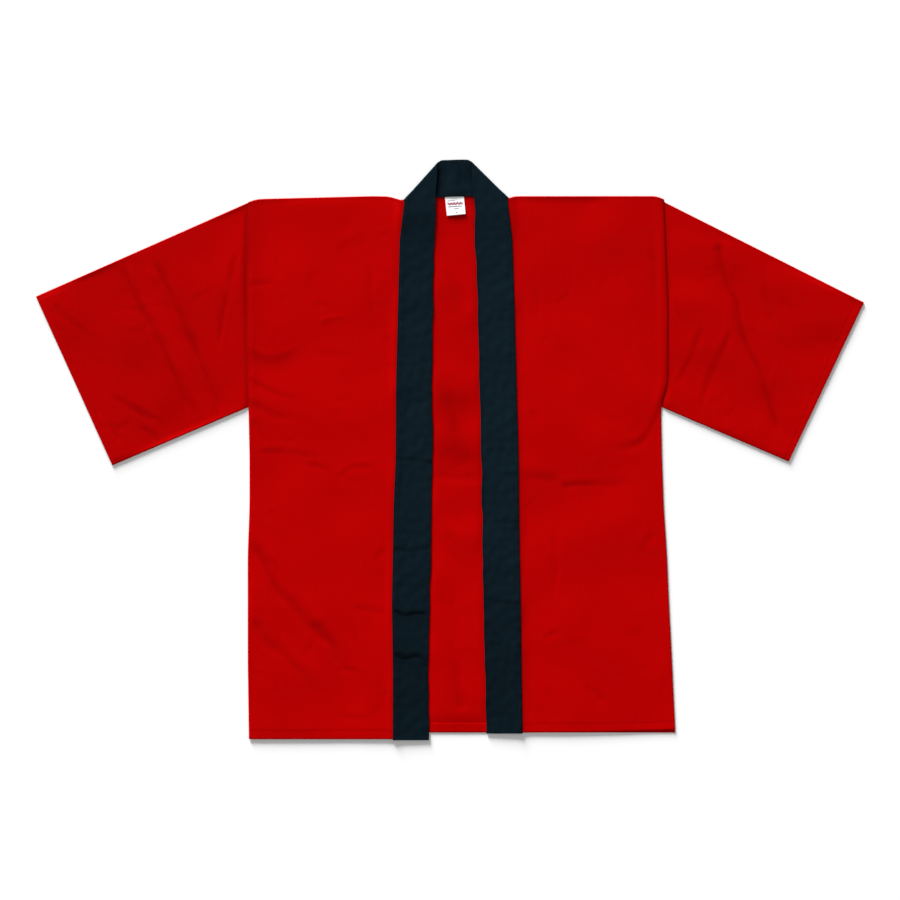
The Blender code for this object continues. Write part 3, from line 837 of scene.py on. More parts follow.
def stitched(seed, along, away, pull):
    """The height that a row of stitches gives the cloth on both sides of it, and the painted shade in its
    groove.
    """
    draw = np.random.default_rng(seed)
    pucker = 0.0
    for _ in range(PUCKER_WAVES):
        length = PUCKER_SHORTEST + PUCKER_LONGER * draw.random()
        pucker = pucker + np.sin(2 * pi * (along / length + draw.random())) / PUCKER_SUM
    groove = np.exp(-((away / GROOVE_REACH) ** 2))
    beside = np.exp(-((away / PUCKER_REACH) ** 2))
    groove, pucker = np.broadcast_arrays(groove, pucker)
    return pull * np.stack([PUCKER * pucker * beside - GROOVE * groove, GROOVE_SHADE * groove])


print("depth of the groove in mm:", GROOVE)

# %% [markdown]
# The sewing thread is dyed to match its cloth. It is a tight twist of two strands, whose light and
# shade are painted as two shades of one colour in turn, which a wave texture gives along the slant.

# %% The thread
def make_thread(name, dark, light):
    """Spun thread: the light and shade of a tight twist, painted as two shades of one colour."""
    material, tree, surface = new_material(name)
    place = tree.nodes.new("ShaderNodeTexCoord").outputs["Object"]
    twist = tree.nodes.new("ShaderNodeTexWave")
    twist.bands_direction = "DIAGONAL"
    twist.inputs["Scale"].default_value = 900.0
    twist.inputs["Distortion"].default_value = 1.5
    tree.links.new(place, twist.inputs["Vector"])
    colour = blended(tree, twist.outputs["Fac"], dark, light)
    tree.links.new(colour, surface.inputs["Base Color"])
    surface.inputs["Roughness"].default_value = 0.75
    surface.inputs["Specular IOR Level"].default_value = 0.15
    surface.inputs["Specular Tint"].default_value = (*light, 1)
    return material


red_thread = make_thread("red_thread", (0.25, 0.0004, 0.0008), (0.42, 0.001, 0.002))
black_thread = make_thread("black_thread", (0.003, 0.007, 0.01), (0.012, 0.02, 0.026))
print("threads:", red_thread.name, black_thread.name)

# %% [markdown]
# A stitch is one small long ball, modelled once from an icosphere and copied along each line, with
# its lower half sunk in the cloth. All the stitches of one cloth are one mesh.

# %% The stitches
STITCH_LONG = 2.7
STITCH_GAP = 0.8
STITCH_THICK = 0.42
STITCH_LIFT = 0.04


def one_stitch():
    """The corners and faces of one stitch, lying along x."""
    bpy.ops.object.select_all(action="DESELECT")
    bpy.ops.mesh.primitive_ico_sphere_add(subdivisions=1, radius=0.5)
    ball = bpy.context.object
    corners_of = np.array([vertex.co for vertex in ball.data.vertices])
    faces = np.array([face.vertices[:] for face in ball.data.polygons])
    bpy.data.objects.remove(ball)
    return corners_of * (STITCH_LONG, STITCH_THICK, STITCH_THICK), faces


def sew(name, lines, material):
    """Stitches along each line of points, which run in the middle of a cloth that faces up."""
    shape, shape_faces = one_stitch()
    places, faces = [], []
    for line in lines:
        run = np.concatenate([[0], np.cumsum(np.linalg.norm(np.diff(line, axis=0), axis=1))])
        count = int(run[-1] / (STITCH_LONG + STITCH_GAP))
        middles = (np.arange(count) + 0.5) * run[-1] / count
        at = np.stack([np.interp(middles, run, line[:, k]) for k in range(3)], axis=1)
        ahead = np.stack([np.interp(middles + 1, run, line[:, k]) for k in range(3)], axis=1)
        behind = np.stack([np.interp(middles - 1, run, line[:, k]) for k in range(3)], axis=1)
        along = ahead - behind
        along /= np.linalg.norm(along, axis=1, keepdims=True)
        side = np.cross((0, 0, 1), along)
        side /= np.linalg.norm(side, axis=1, keepdims=True)
        up = np.cross(along, side)
        at = at + up * (CLOTH / 2 + STITCH_LIFT)
        frame_of = np.stack([along, side, up], axis=1)
        first = sum(len(part) for part in places)
        places.append((at[:, None] + shape @ frame_of).reshape(-1, 3))
        starts = first + len(shape) * np.arange(count)
        faces.append((shape_faces[None] + starts[:, None, None]).reshape(-1, 3))
    mesh = bpy.data.meshes.new(name)
    mesh.from_pydata((np.concatenate(places) * MM).tolist(), [], np.concatenate(faces).tolist())
    mesh.shade_smooth()
    mesh.materials.append(material)
    piece = bpy.data.objects.new(name, mesh)
    bpy.context.scene.collection.objects.link(piece)
    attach(piece, "root")
    print(name, "stitches:", len(mesh.vertices) // len(shape))
    return piece


print("length of one stitch in mm:", STITCH_LONG)

# %% [markdown]
# ## The back
#
# One width of cotton from side seam to side seam. It lies inside up, so what shows between the two
# halves of the collar is its inner side, with the hem turned over and stitched at the bottom. Where
# the fronts cover it, it stays almost flat. In the open strip it rolls and creases freely. Its top
# edge meets the fronts at the shoulders and goes a little way into the collar at the neck.

# %% Making the back
BACK_STEP = 4.2
GROUND = CLOTH / 2
NECK_FROM = -68.5
NECK_TO = 85.5
NECK_INSERT = 5.0
BAND_MID_NECK = 1.2
TOP_REACH = 60.0
EDGE_REACH = 1.5
BACK_SIDE_HEIGHT = 0.8
BACK_TOP_HEIGHT = 0.85
HIDDEN_HIGHEST = 0.42


def shift_to(line, level, x, y, reach):
    """How far a row near a level edge moves to follow the real edge line there."""
    share = np.clip(1 - np.abs(y - level) / reach, 0, 1)
    return share * (line(x) - level)


def make_back():
    width = float(left_side(0) - right_side(0))
    columns = steps(width, BACK_STEP, ROLL_OFFSETS[:8], ROLL_OFFSETS[:8]) / width
    from_hem = steps(SHOULDER - BACK_HEM, BACK_STEP, HEM_ROWS, ROLL_OFFSETS[:8])[::-1]
    across, y = np.meshgrid(columns, BACK_HEM + from_hem)
    x = right_side(y) + (left_side(y) - right_side(y)) * across
    seam = stitched(15, x, y - BACK_HEM - STITCH_IN, 0.9)
    neck = eased((x - NECK_FROM) / 3) * eased((NECK_TO - x) / 3)
    y = y + shift_to(top_line, SHOULDER, x, y, TOP_REACH)
    y = y + neck * NECK_INSERT * np.clip(1 - (top_line(x) - y) / 30, 0, 1)
    open_strip = eased((x - right_free(y) + 2) / 8) * eased((left_free(y) + 2 - x) / 8)
    hidden = crumpled(12, 60, np.array((-280, -400)), np.array((300, 350)), x, y)
    flat = np.clip(0.2 + rolling(11, x, y, 0.18, 60, 160) + hidden[0], 0, HIDDEN_HIGHEST)
    shown = creased("back", x, y) + crumpled(14, 26, np.array((-30, -400)), np.array((50, 350)), x, y)
    free = softest_low(0.8 + rolling(13, x, y, 0.20, 40, 120) + shown[0], 0.05, 0.2)
    hem_calm = 0.3 + 0.7 * eased((y - BACK_HEM - 4) / 22)
    z = GROUND + (flat + (free - flat) * open_strip) * hem_calm + np.maximum(seam[0], -0.1)
    z = z + neck * (BAND_MID_NECK - z) * eased(1 - (top_line(x) + 2 - y) / 14)
    side_gap = np.minimum(x - right_side(y), left_side(y) - x)
    below = eased((UNDERARM + 4 - y) / 8)
    z = z + (rolled(z, side_gap, BACK_SIDE_HEIGHT, EDGE_REACH) - z) * below
    z = z + (rolled(z, top_line(x) - y, BACK_TOP_HEIGHT, EDGE_REACH) - z) * (1 - neck)
    # Painted shade along the creases and the hem stitching, and along the top at the neck, under the collar.
    shade = shown[1] + seam[1] + 0.10 * neck * np.exp(-(top_line(x) - y) / 5)
    points = np.stack([x, y, z], axis=2)
    strip = (x[0] > -60) & (x[0] < 75)
    stitches = sew("back_hem_stitches", [points[STITCH_ROW, strip]], red_thread)
    points = with_hem(points, -1, HEM_DEPTH, tuck=6.0)
    cut = flat_cut(points)
    piece = make_cloth("back_cloth", points[:, ::-1], cut[:, ::-1], red_cotton, shade[:, ::-1])
    declare(piece, "back")


make_back()

# %% [markdown]
# ## The collar's height
#
# The collar is a strip folded in two along its free edge, with the edge of each front between its
# layers. The fronts need to know how high it lies, so its height comes first. It rests on the back
# along its free edge, is a little higher over the seam, and climbs towards the shoulder, where it
# folds over itself and runs behind the neck.

# %% The height of the collar over each front
BAND_MID_SEAM = 2.35
BAND_MID_FREE = 1.75
BAND_MID_CORNER = 3.65
RISE_START = 285.0
RISE_END = 345.0


def band_form(x, y, share):
    """The middle height of the collar's strip over a front; share is 0 at the seam, 1 at the fold."""
    low = BAND_MID_SEAM + (BAND_MID_FREE - BAND_MID_SEAM) * eased(share)
    low = low + rolling(62, x, y, 0.14, 35, 120) + creased("collar", x, y)[0]
    return low + (BAND_MID_CORNER - low) * eased((y - RISE_START) / (RISE_END - RISE_START))


print("collar height over the seam in mm:", round(float(band_form(np.array(-70.0), np.array(0.0), 0.0)), 2))

# %% [markdown]
# ## The fronts
#
# Each front is a straight panel from the side seam to the collar seam. It carries most of the
# creases: press folds across, slanted creases at the armhole, and long diagonals lower down. Above
# the underarm its side edge is the armhole seam, where the panel stands proud of the sleeve. Below
# it the front rolls down to meet the back. Its hem is turned under.

# %% Making a front
FRONT_STEP = 2.7
FRONT_BASE = 1.85
FRONT_LOWEST = 1.05
FRONT_SIDE_HEIGHT = 1.0
FRONT_ARMHOLE_HEIGHT = 1.3
FRONT_TOP_HEIGHT = 1.1
ARMHOLE_REACH = 3.2
TOP_EDGE_REACH = 1.6
ARMHOLE_RISE = 0.45
SEAM_FINE = (0.0, 0.6, 1.4, 2.6, 4.2, 6.5)
COLLAR_INSERT = 5.0
Front = namedtuple("Front", "name node side seam hem inward seed")


def make_front(front):
    from_hem = steps(SHOULDER - front.hem, FRONT_STEP, HEM_ROWS, ROLL_OFFSETS[:8])[::-1]
    width = abs(float(front.seam(0) - front.side(0)))
    gaps = np.append(steps(width, FRONT_STEP, ROLL_OFFSETS, SEAM_FINE), width + COLLAR_INSERT)
    gap, y = np.meshgrid(gaps, front.hem + from_hem)
    x = front.side(y) + front.inward * gap * np.abs(front.seam(y) - front.side(y)) / width
    seam = stitched(front.seed + 2, x, y - front.hem - STITCH_IN, 0.4)
    if front.name == "left_front":
        y = y + shift_to(left_hem_line, front.hem, x, y, TOP_REACH)
    y = y + shift_to(top_line, SHOULDER, x, y, TOP_REACH)
    low = np.array((x.min(), y.min()))
    high = np.array((x.max(), y.max()))
    form = creased(front.name, x, y) + crumpled(front.seed + 1, 60, low, high, x, y)
    body = rolling(front.seed, x, y, 0.26, 70, 240) + form[0]
    calm = eased((gap - 0.5) / 7) * eased((width - gap + 2) / 12)
    calm = calm * (0.4 + 0.6 * eased((y - front.hem - 3) / 16)) * eased((top_line(x) - y) / 9)
    z = softest_low(FRONT_BASE + body * calm, FRONT_LOWEST) + seam[0]
    at_armhole = eased((y - UNDERARM + 6) / 14)
    z = z + at_armhole * ARMHOLE_RISE * np.exp(-(((gap - 7) / 6) ** 2))
    z = z + (band_form(x, y, 0.0) - z) * eased(1 - (width - gap) / 12)
    z = z + (rolled(z, gap, FRONT_SIDE_HEIGHT, EDGE_REACH) - z) * (1 - at_armhole)
    z = z + (rolled(z, gap, FRONT_ARMHOLE_HEIGHT, ARMHOLE_REACH) - z) * at_armhole
    z = rolled(z, np.maximum(top_line(x) - y, 0), FRONT_TOP_HEIGHT, TOP_EDGE_REACH)
    # Painted shade along the creases and the hem stitching, in the armhole groove, under the collar's edge
    # and along the folded top.
    groove = painted_edge_shade(gap, 0.08, 8) + painted_edge_shade(gap, 0.34, 2.4)
    under_collar_painted_shade = painted_edge_shade(np.clip(width - gap, 0, None), 0.14, 4)
    top_edge_painted_shade = painted_edge_shade(top_line(x) - y, 0.30, 3)
    shade = form[1] + seam[1] + at_armhole * groove + under_collar_painted_shade + top_edge_painted_shade
    points = np.stack([x, y, z], axis=2)
    sewn = gaps < width
    stitches = sew(front.name + "_hem_stitches", [points[STITCH_ROW, sewn]], red_thread)
    points = with_hem(points, front.inward, HEM_DEPTH)
    cut = flat_cut(points)
    flip = slice(None, None, -1) if front.inward > 0 else slice(None)
    piece = make_cloth(front.name + "_cloth", points[:, flip], cut[:, flip], red_cotton, shade[:, flip])
    declare(piece, front.node)


RIGHT_FRONT = Front("right_front", "front_right", right_side, right_seam, RIGHT_HEM, 1, 21)
LEFT_FRONT = Front("left_front", "front_left", left_side, left_seam, LEFT_HEM, -1, 31)
make_front(RIGHT_FRONT)
make_front(LEFT_FRONT)

# %% [markdown]
# ## The sleeves
#
# A happi sleeve is one cloth folded along the top and sewn along the bottom: a flat tube. Its rings
# are built as a path: from the underarm seam over the upper layer, round the fold, and back along
# the lower layer. The rings run from the armhole to the cuff, which lies on the slant and has its
# hem turned inwards all round.

# %% Making a sleeve
SLEEVE_STEP = 3.1
SLEEVE_BASE = 1.75
SLEEVE_LOWEST = 1.0
SLEEVE_EDGE_REACH = 1.6
ARMHOLE_HEIGHT = 0.88
ARMHOLE_GAP = 0.3
UNDER_BODY = 2.0
HOLE_FINE = (0, 0.6, 1.4, 2.6, 4.2)
RIGHT_SLEEVE_TOP = 354.0
LEFT_SLEEVE_TOP = 355.0
Sleeve = namedtuple("Sleeve", "name node side top cuff_top cuff_bottom outward seed")


def cuff_corners(node, outward):
    """The two outer corners of a sleeve: its furthest point out and its lowest point."""
    points = np.concatenate(EDGES[node])
    top = points[np.argmax(points[:, 0] * outward)]
    bottom = points[np.argmin(points[:, 1])]
    return top[:2], bottom[:2]


def sleeve_path(depth):
    """The ring as distances down from the top fold, and which of them are on the upper layer."""
    upper = steps(depth, SLEEVE_STEP, ROLL_OFFSETS[:8], ROLL_OFFSETS[:8])[::-1]
    down = np.concatenate([upper, upper[-2::-1]])
    return down, np.arange(len(down)) < len(upper)


def make_sleeve(sleeve):
    depth = sleeve.top - UNDERARM
    down, is_upper = sleeve_path(depth)
    length = float(np.hypot(*(sleeve.cuff_top - np.array((float(sleeve.side(sleeve.top)), sleeve.top)))))
    outs = steps(length, SLEEVE_STEP, HOLE_FINE, HEM_ROWS) / length
    q, out = np.meshgrid(down / depth, outs)
    upper = np.broadcast_to(is_upper, q.shape)
    y_hole = sleeve.top + (UNDERARM - sleeve.top) * q
    under = UNDER_BODY * upper * eased(q * depth / 12) * eased((1 - q) * depth / 12)
    x_hole = sleeve.side(y_hole) + sleeve.outward * (ARMHOLE_GAP - under)
    x_cuff = sleeve.cuff_top[0] + (sleeve.cuff_bottom[0] - sleeve.cuff_top[0]) * q
    y_cuff = sleeve.cuff_top[1] + (sleeve.cuff_bottom[1] - sleeve.cuff_top[1]) * q
    x = x_hole + (x_cuff - x_hole) * out
    y = y_hole + (y_cuff - y_hole) * out
    ring_depth = depth + (np.hypot(*(sleeve.cuff_bottom - sleeve.cuff_top)) - depth) * out
    edge_gap = np.minimum(q, 1 - q) * ring_depth
    hole_gap = out * length
    cuff_gap = (1 - out) * length
    low = np.array((x.min(), y.min()))
    high = np.array((x.max(), y.max()))
    seam = stitched(sleeve.seed + 3, y, cuff_gap - STITCH_IN, 0.5)
    form = creased(sleeve.name, x, y) + crumpled(sleeve.seed + 1, 50, low, high, x, y)
    body = rolling(sleeve.seed, x, y, 0.32, 60, 200) + form[0]
    calm = eased(edge_gap / 8) * eased((hole_gap - 1) / 12) * (0.4 + 0.6 * eased((cuff_gap - 2) / 14))
    over = softest_low(SLEEVE_BASE + body * calm, SLEEVE_LOWEST) + seam[0]
    over = ARMHOLE_HEIGHT + (over - ARMHOLE_HEIGHT) * eased((hole_gap + 3) / 17) ** 0.8
    below = GROUND + np.clip(0.15 + rolling(sleeve.seed + 2, x, y, 0.2, 50, 150), 0, 0.4) * calm
    closing = (over + below) / 2
    over = rolled(over, edge_gap, closing, SLEEVE_EDGE_REACH)
    below = rolled(below, edge_gap, closing, SLEEVE_EDGE_REACH)
    z = np.where(upper, over, below)
    # Painted shade along the creases and the cuff stitching, in the armhole groove and along the top fold.
    shade = (form[1] + seam[1]) * upper + painted_edge_shade(hole_gap - 2, 0.22, 7)
    shade = shade + painted_edge_shade(q * ring_depth, 0.25, 3)
    points = np.stack([x, y, z], axis=2)
    shown = is_upper & (down > 1) & (down < depth - 1)
    stitches = sew(sleeve.name + "_cuff_stitches", [points[STITCH_ROW, shown]], red_thread)
    points = with_hem(points, sleeve.outward, HEM_DEPTH)
    cut = np.stack([run_lengths(points, 1), run_lengths(points, 0)], axis=2)
    flip = slice(None, None, -1) if sleeve.outward > 0 else slice(None)
    piece = make_cloth(sleeve.name + "_cloth", points[:, flip], cut[:, flip], red_cotton, shade[:, flip])
    declare(piece, sleeve.node)


right_cuff = cuff_corners("sleeve_right", -1)
left_cuff = cuff_corners("sleeve_left", 1)
RIGHT_SLEEVE = Sleeve("right_sleeve", "sleeve_right", right_side, RIGHT_SLEEVE_TOP, *right_cuff, -1, 41)
LEFT_SLEEVE = Sleeve("left_sleeve", "sleeve_left", left_side, LEFT_SLEEVE_TOP, *left_cuff, 1, 51)
make_sleeve(RIGHT_SLEEVE)
make_sleeve(LEFT_SLEEVE)

# %% [markdown]
# ## The collar
#
# One strip of black cotton, folded in two along its length. Seen in section it is a hairpin: a
# turned allowance, the outer layer, the fold at the free edge, the inner layer, and the other
# allowance. The fronts and the back are sewn in between its open edges.
#
# The section lies with its outer layer up over each front. Its path is the same all along the strip.

# %% The hairpin section
COLLAR_WIDTH = 52.0
SEAM_HALF = 0.95
FREE_HALF = 0.42
SEAM_THICK_REACH = 8.5
ALLOWANCE = 8.0
ACROSS_STEP = 4.6
ALONG_STEP = 2.8
SEAM_COLUMNS = (0.0, 0.3, 0.8, 1.6, 2.8, 4.2, 5.6, 6.5, 7.4, 8.8)
FREE_COLUMNS = (0.0, 0.5, 1.2, 2.0, 2.7, 3.4, 4.6)
SEAM_STITCH = SEAM_COLUMNS[7]
FREE_STITCH = FREE_COLUMNS[4]
SEAM_FOLD = 0.24


def hairpin():
    """The section's path: distances from the seam, offsets to the outer side, and two columns of it
    on the outer layer that are stitched."""
    turn = np.linspace(pi, 0, 7)
    tuck = np.array((ALLOWANCE, 5.0, 2.4, 1.0))
    seam_fold = SEAM_FOLD - SEAM_FOLD * np.sin(turn[1:-1])
    flat = steps(COLLAR_WIDTH - FREE_HALF - SEAM_FOLD, ACROSS_STEP, SEAM_COLUMNS, FREE_COLUMNS) + SEAM_FOLD
    half = FREE_HALF + (SEAM_HALF - FREE_HALF) * eased(1 - (flat - 5.0) / SEAM_THICK_REACH)
    end = flat[-1] + FREE_HALF * np.cos(np.linspace(-pi / 2, pi / 2, 9)[1:-1])
    inner = SEAM_HALF - 2 * SEAM_FOLD
    path = [tuck, seam_fold, flat]
    rise = [np.full(4, inner), inner + SEAM_FOLD + SEAM_FOLD * np.cos(turn[1:-1]), half]
    places = np.concatenate(path + [end] + [part[::-1] for part in path[::-1]])
    free = FREE_HALF * np.cos(np.linspace(0, pi, 9)[1:-1])
    offsets = np.concatenate(rise + [free] + [-part[::-1] for part in rise[::-1]])
    first = len(tuck) + len(seam_fold)
    stitched_columns = (first + SEAM_COLUMNS.index(SEAM_STITCH),
                        first + len(flat) - 1 - FREE_COLUMNS.index(FREE_STITCH))
    return places, offsets, stitched_columns


print("points round the collar's section:", len(hairpin()[0]))

# %% [markdown]
# The section is carried along the strip: up the wearer's right front, over itself in a slanting fold
# at the side of the neck, behind the neck with its inner side up, and the same way down again. Each
# section is the line from the seam to the free edge, a middle height, and the direction that the
# outer side faces. Over a front its band is 1, and band_form gives the height instead.

# %% The collar's sections
Corner = namedtuple("Corner", "seam free")
RIGHT_CORNER = Corner(seam=(-67.0, 358.0), free=(-14.0, 417.0))
LEFT_CORNER = Corner(seam=(84.0, 361.5), free=(28.0, 417.0))
SLANT_START = 300.0
CORNER_ROUND = 2.0
CORNER_REACH = 4.0
FRONT_SHARE = 0.89
SEAM_BOW = 5.0
FREE_BOW = 0.5
ROLL_RADIUS = (BAND_MID_CORNER - BAND_MID_NECK) / 2
ROLL_ROWS = 14
SLANT_ROWS = 30
NECK_ROWS = 30
Section = namedtuple("Section", "seam free middle facing band")


def fold_axis(corner, hand):
    """The axis of a corner fold, moved in from the outer edge by the fold's radius, and its way out."""
    seam, free = np.array(corner.seam), np.array(corner.free)
    run = (free - seam) / np.linalg.norm(free - seam)
    away = np.array((hand * run[1], -hand * run[0]))
    inset = away * (ROLL_RADIUS + SEAM_HALF + GROUND)
    return seam - inset, free - inset, away


def band_sections(seam, free, end, corner, hand):
    """The sections of one front run, from its lower end to the fold and half a turn round it."""
    up = np.array((0.0, 0.0, 1.0))
    sections = []
    for y in end + steps(SLANT_START - end, ALONG_STEP, (0, 0.3, 0.8, 1.6, 3.0)):
        sections.append(Section((seam(y), y), (free(y), y), None, up, 1))
    first = sections[-1]
    axis_seam, axis_free, away = fold_axis(corner, hand)
    front_free = axis_seam + (axis_free - axis_seam) * FRONT_SHARE
    for share in np.linspace(0, 1, SLANT_ROWS + 1)[1:]:
        on_seam = np.array(first.seam) + (axis_seam - first.seam) * share
        on_free = np.array(first.free) + (front_free - first.free) * share
        sections.append(Section(on_seam, on_free, None, up, 1))
    for turn in np.linspace(0, pi, ROLL_ROWS + 1)[1:]:
        out = away * ROLL_RADIUS * sin(turn)
        middle = BAND_MID_NECK + ROLL_RADIUS * (1 + cos(turn))
        front = np.array((away[0] * sin(turn), away[1] * sin(turn), cos(turn)))
        on_free = front_free + (axis_free - front_free) * turn / pi
        sections.append(Section(axis_seam + out, on_free + out, middle, front, 0))
    return sections


def neck_sections(first, last):
    """The run behind the neck, between the two folds, bowed a little along both edges."""
    sections = []
    for share in np.linspace(0, 1, NECK_ROWS + 1)[1:-1]:
        bow = sin(pi * share)
        seam = first.seam + (last.seam - first.seam) * share + np.array((0, SEAM_BOW * bow))
        free = first.free + (last.free - first.free) * share + np.array((0, FREE_BOW * bow))
        sections.append(Section(seam, free, BAND_MID_NECK, np.array((0.0, 0.0, -1.0)), 0))
    return sections


print("radius of the corner folds in mm:", round(ROLL_RADIUS, 3))

# %% [markdown]
# The whole strip is laid from one lower end to the other. Its free edge wavers a little, as a
# hand-folded edge does, and is drawn in at the tip of each corner fold.

# %% Laying the strip
RIGHT_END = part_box("collar")[0].y / MM
LEFT_END = float(crossings("collar", 0, 78.0).min())
Strip = namedtuple("Strip", "seam free front band middle ends")


def along_edge(edge):
    """How far along an edge of the strip each of its sections is."""
    return np.concatenate([[0.0], np.cumsum(np.hypot(*np.diff(edge, axis=0).T))])


def rounded_corners(seam, free, folds):
    """The free edge, drawn in a little at the tip of each corner fold."""
    run = along_edge(free)
    across = (free - seam) / np.linalg.norm(free - seam, axis=1, keepdims=True)
    for fold in folds:
        draw_in = CORNER_ROUND * np.exp(-(((run - run[fold]) / CORNER_REACH) ** 2))
        free = free - across * draw_in[:, None]
    return free


def lay_strip():
    """The sections of the whole strip as arrays, and how many belong to each front run."""
    right = band_sections(right_seam, right_free, RIGHT_END, RIGHT_CORNER, -1)
    left = band_sections(left_seam, left_free, LEFT_END, LEFT_CORNER, 1)
    sections = right + neck_sections(right[-1], left[-1]) + left[::-1]
    seam = np.array([section.seam for section in sections], float)
    free = np.array([section.free for section in sections], float)
    front = np.array([section.facing for section in sections])
    band = np.array([section.band for section in sections])[:, None]
    middle = np.array([0.0 if section.middle is None else section.middle for section in sections])
    waver = rolling(61, along_edge(free), np.zeros(len(sections)), 0.35, 25, 90)[:, None]
    free = free + waver * (free - seam) / COLLAR_WIDTH
    folds = (len(right) - ROLL_ROWS // 2, len(sections) - len(left) + ROLL_ROWS // 2)
    free = rounded_corners(seam, free, folds)
    return Strip(seam, free, front, band, middle[:, None], (len(right), len(left)))


strip = lay_strip()
print("sections along the strip:", len(strip.seam))

# %% [markdown]
# Over a front the strip has the height that the front was given. Behind the neck it lies on the
# back, rolls a little, and has creases of its own.

# %% The strip's height
BEHIND_FROM = -60
BEHIND_TO = 76
BEHIND_FADE = 20
NECK_ROLL = 0.25
NECK_HIGHEST = 0.6


def strip_height(x, y, shares):
    """The middle height of the strip at every point, and how far each lies behind the neck."""
    over = band_form(x, y, np.broadcast_to(shares, x.shape))
    behind = eased((x - BEHIND_FROM) / BEHIND_FADE) * eased((BEHIND_TO - x) / BEHIND_FADE)
    behind = behind * (strip.front[:, 2:] < -0.99)
    folds = creased("neck", x, y)[0] * behind
    neck = np.clip(rolling(63, x, y, NECK_ROLL, 25, 60) + NECK_ROLL + folds, 0, NECK_HIGHEST) * behind
    return over * strip.band + (strip.middle + neck) * (1 - strip.band), behind


print("height behind the neck in mm:", BAND_MID_NECK, "to", round(BAND_MID_NECK + NECK_HIGHEST, 2))

# %% [markdown]
# The collar is then one grid: a row for each section, and a column for each point of the hairpin.
# Its two stitched seams are grooves in both layers. At both lower ends the layers are pinched
# together. The stitches show on whichever layer is up.

# %% Making the collar
PINCH_LENGTH = 1.2
PINCHED = 0.3
OTHER_SIDE = 400


def seam_lines(points, columns):
    """Both seams where they show: on the outer layer over the fronts, on the inner one behind."""
    right_rows, left_rows = strip.ends
    up = strip.front[:, 2] > 0.5
    lines = []
    for column in columns:
        lines.append(points[:right_rows, column][up[:right_rows]])
        lines.append(points[:, -1 - column][strip.front[:, 2] < -0.5])
        lines.append(points[-left_rows:, column][up[-left_rows:]])
    return lines


def make_collar():
    places, offsets, stitched_columns = hairpin()
    shares = places / COLLAR_WIDTH
    flat = strip.seam[:, None] + (strip.free - strip.seam)[:, None] * shares[None, :, None]
    x, y = flat[..., 0], flat[..., 1]
    height, behind = strip_height(x, y, shares)
    right_run = y - RIGHT_END + OTHER_SIDE * (x > MIDDLE)
    left_run = y - LEFT_END + OTHER_SIDE * (x < MIDDLE)
    from_end = np.minimum(right_run, left_run)
    inside = np.clip((PINCH_LENGTH - from_end) / PINCH_LENGTH, 0, 1)
    pinch = PINCHED + (1 - PINCHED) * np.sqrt(1 - inside ** 2)
    run = along_edge(strip.seam)[:, None] * (1 - shares) + along_edge(strip.free)[:, None] * shares
    sewing = stitched(64, run, places - SEAM_STITCH - SEAM_FOLD, 0.7)
    sewing = sewing + stitched(65, run, places - COLLAR_WIDTH + FREE_STITCH + FREE_HALF, 0.4)
    half = offsets + np.sign(offsets) * sewing[0]
    points = np.concatenate([flat, height[..., None]], axis=2)
    points = points + strip.front[:, None] * (half * np.where(strip.band, pinch, 1))[..., None]
    # Painted shade along the strip's seam and free edges, its creases and its stitched seams; the rolling
    # adds uneven tone.
    edges = painted_edge_shade(places, 0.45, 1.6) + painted_edge_shade(places - COLLAR_WIDTH, 0.25, 1.6)
    shade = creased("collar", x, y)[1] * strip.band + creased("neck", x, y)[1] * behind
    shade = shade + 2 * sewing[1] + edges + rolling(66, x, y, 0.09, 5, 22)
    plain = np.concatenate([[0.0], np.cumsum(np.hypot(np.diff(places), np.diff(offsets)))])
    cut = np.stack([np.broadcast_to(plain, run.shape), run], axis=2)
    piece = make_cloth("collar_strip", points, cut, black_cotton, shade)
    lines = seam_lines(points, stitched_columns)
    stitches = sew("collar_stitches", lines, black_thread)
    return piece, stitches, cut


collar, collar_stitches, collar_cut = make_collar()
declare(collar, "collar")

# %% [markdown]
# ## The label
#
# A small white tape, caught in the neck seam by its upper end, so that its lower end stands up a
# little.

# %% Making the label
LABEL_LOW, LABEL_HIGH = (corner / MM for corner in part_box("label"))
TAPE = 0.25
LABEL_CORNERS = ((LABEL_LOW.x, LABEL_HIGH.y), (LABEL_LOW.x + 27.0, LABEL_HIGH.y + 1.0),
                 (LABEL_LOW.x + 2.6, LABEL_LOW.y), (LABEL_HIGH.x - 0.2, LABEL_LOW.y + 2.6))
LABEL_TUCK = 4.0
LABEL_HEM = 3.0
LABEL_GRID = 29
RIB_STREAKS = (40, 2600, 1)
RIB_HEIGHT = 0.00008


def on_label(across, down, lift=0.0):
    """The point on the label at a share of its width and of its drop."""
    upper_left, upper_right, lower_left, lower_right = (np.array(c) for c in LABEL_CORNERS)
    across, down = np.asarray(across, float), np.asarray(down, float)
    wide, drop = across[..., None], down[..., None]
    place = (upper_left * (1 - wide) + upper_right * wide) * (1 - drop)
    place = place + (lower_left * (1 - wide) + lower_right * wide) * drop
    base = BAND_MID_NECK + 0.33 + 0.15 * np.sin(3.1 * down)
    stand = 1.4 * np.clip(down, 0, 1) ** 2 * (0.55 + 0.45 * across)
    bow = 0.4 * np.sin(pi * np.clip(across, 0, 1)) * np.clip(1.6 * down, 0, 1) * (1 - 0.5 * down)
    return np.concatenate([place, (base + stand + bow + lift)[..., None]], axis=-1)


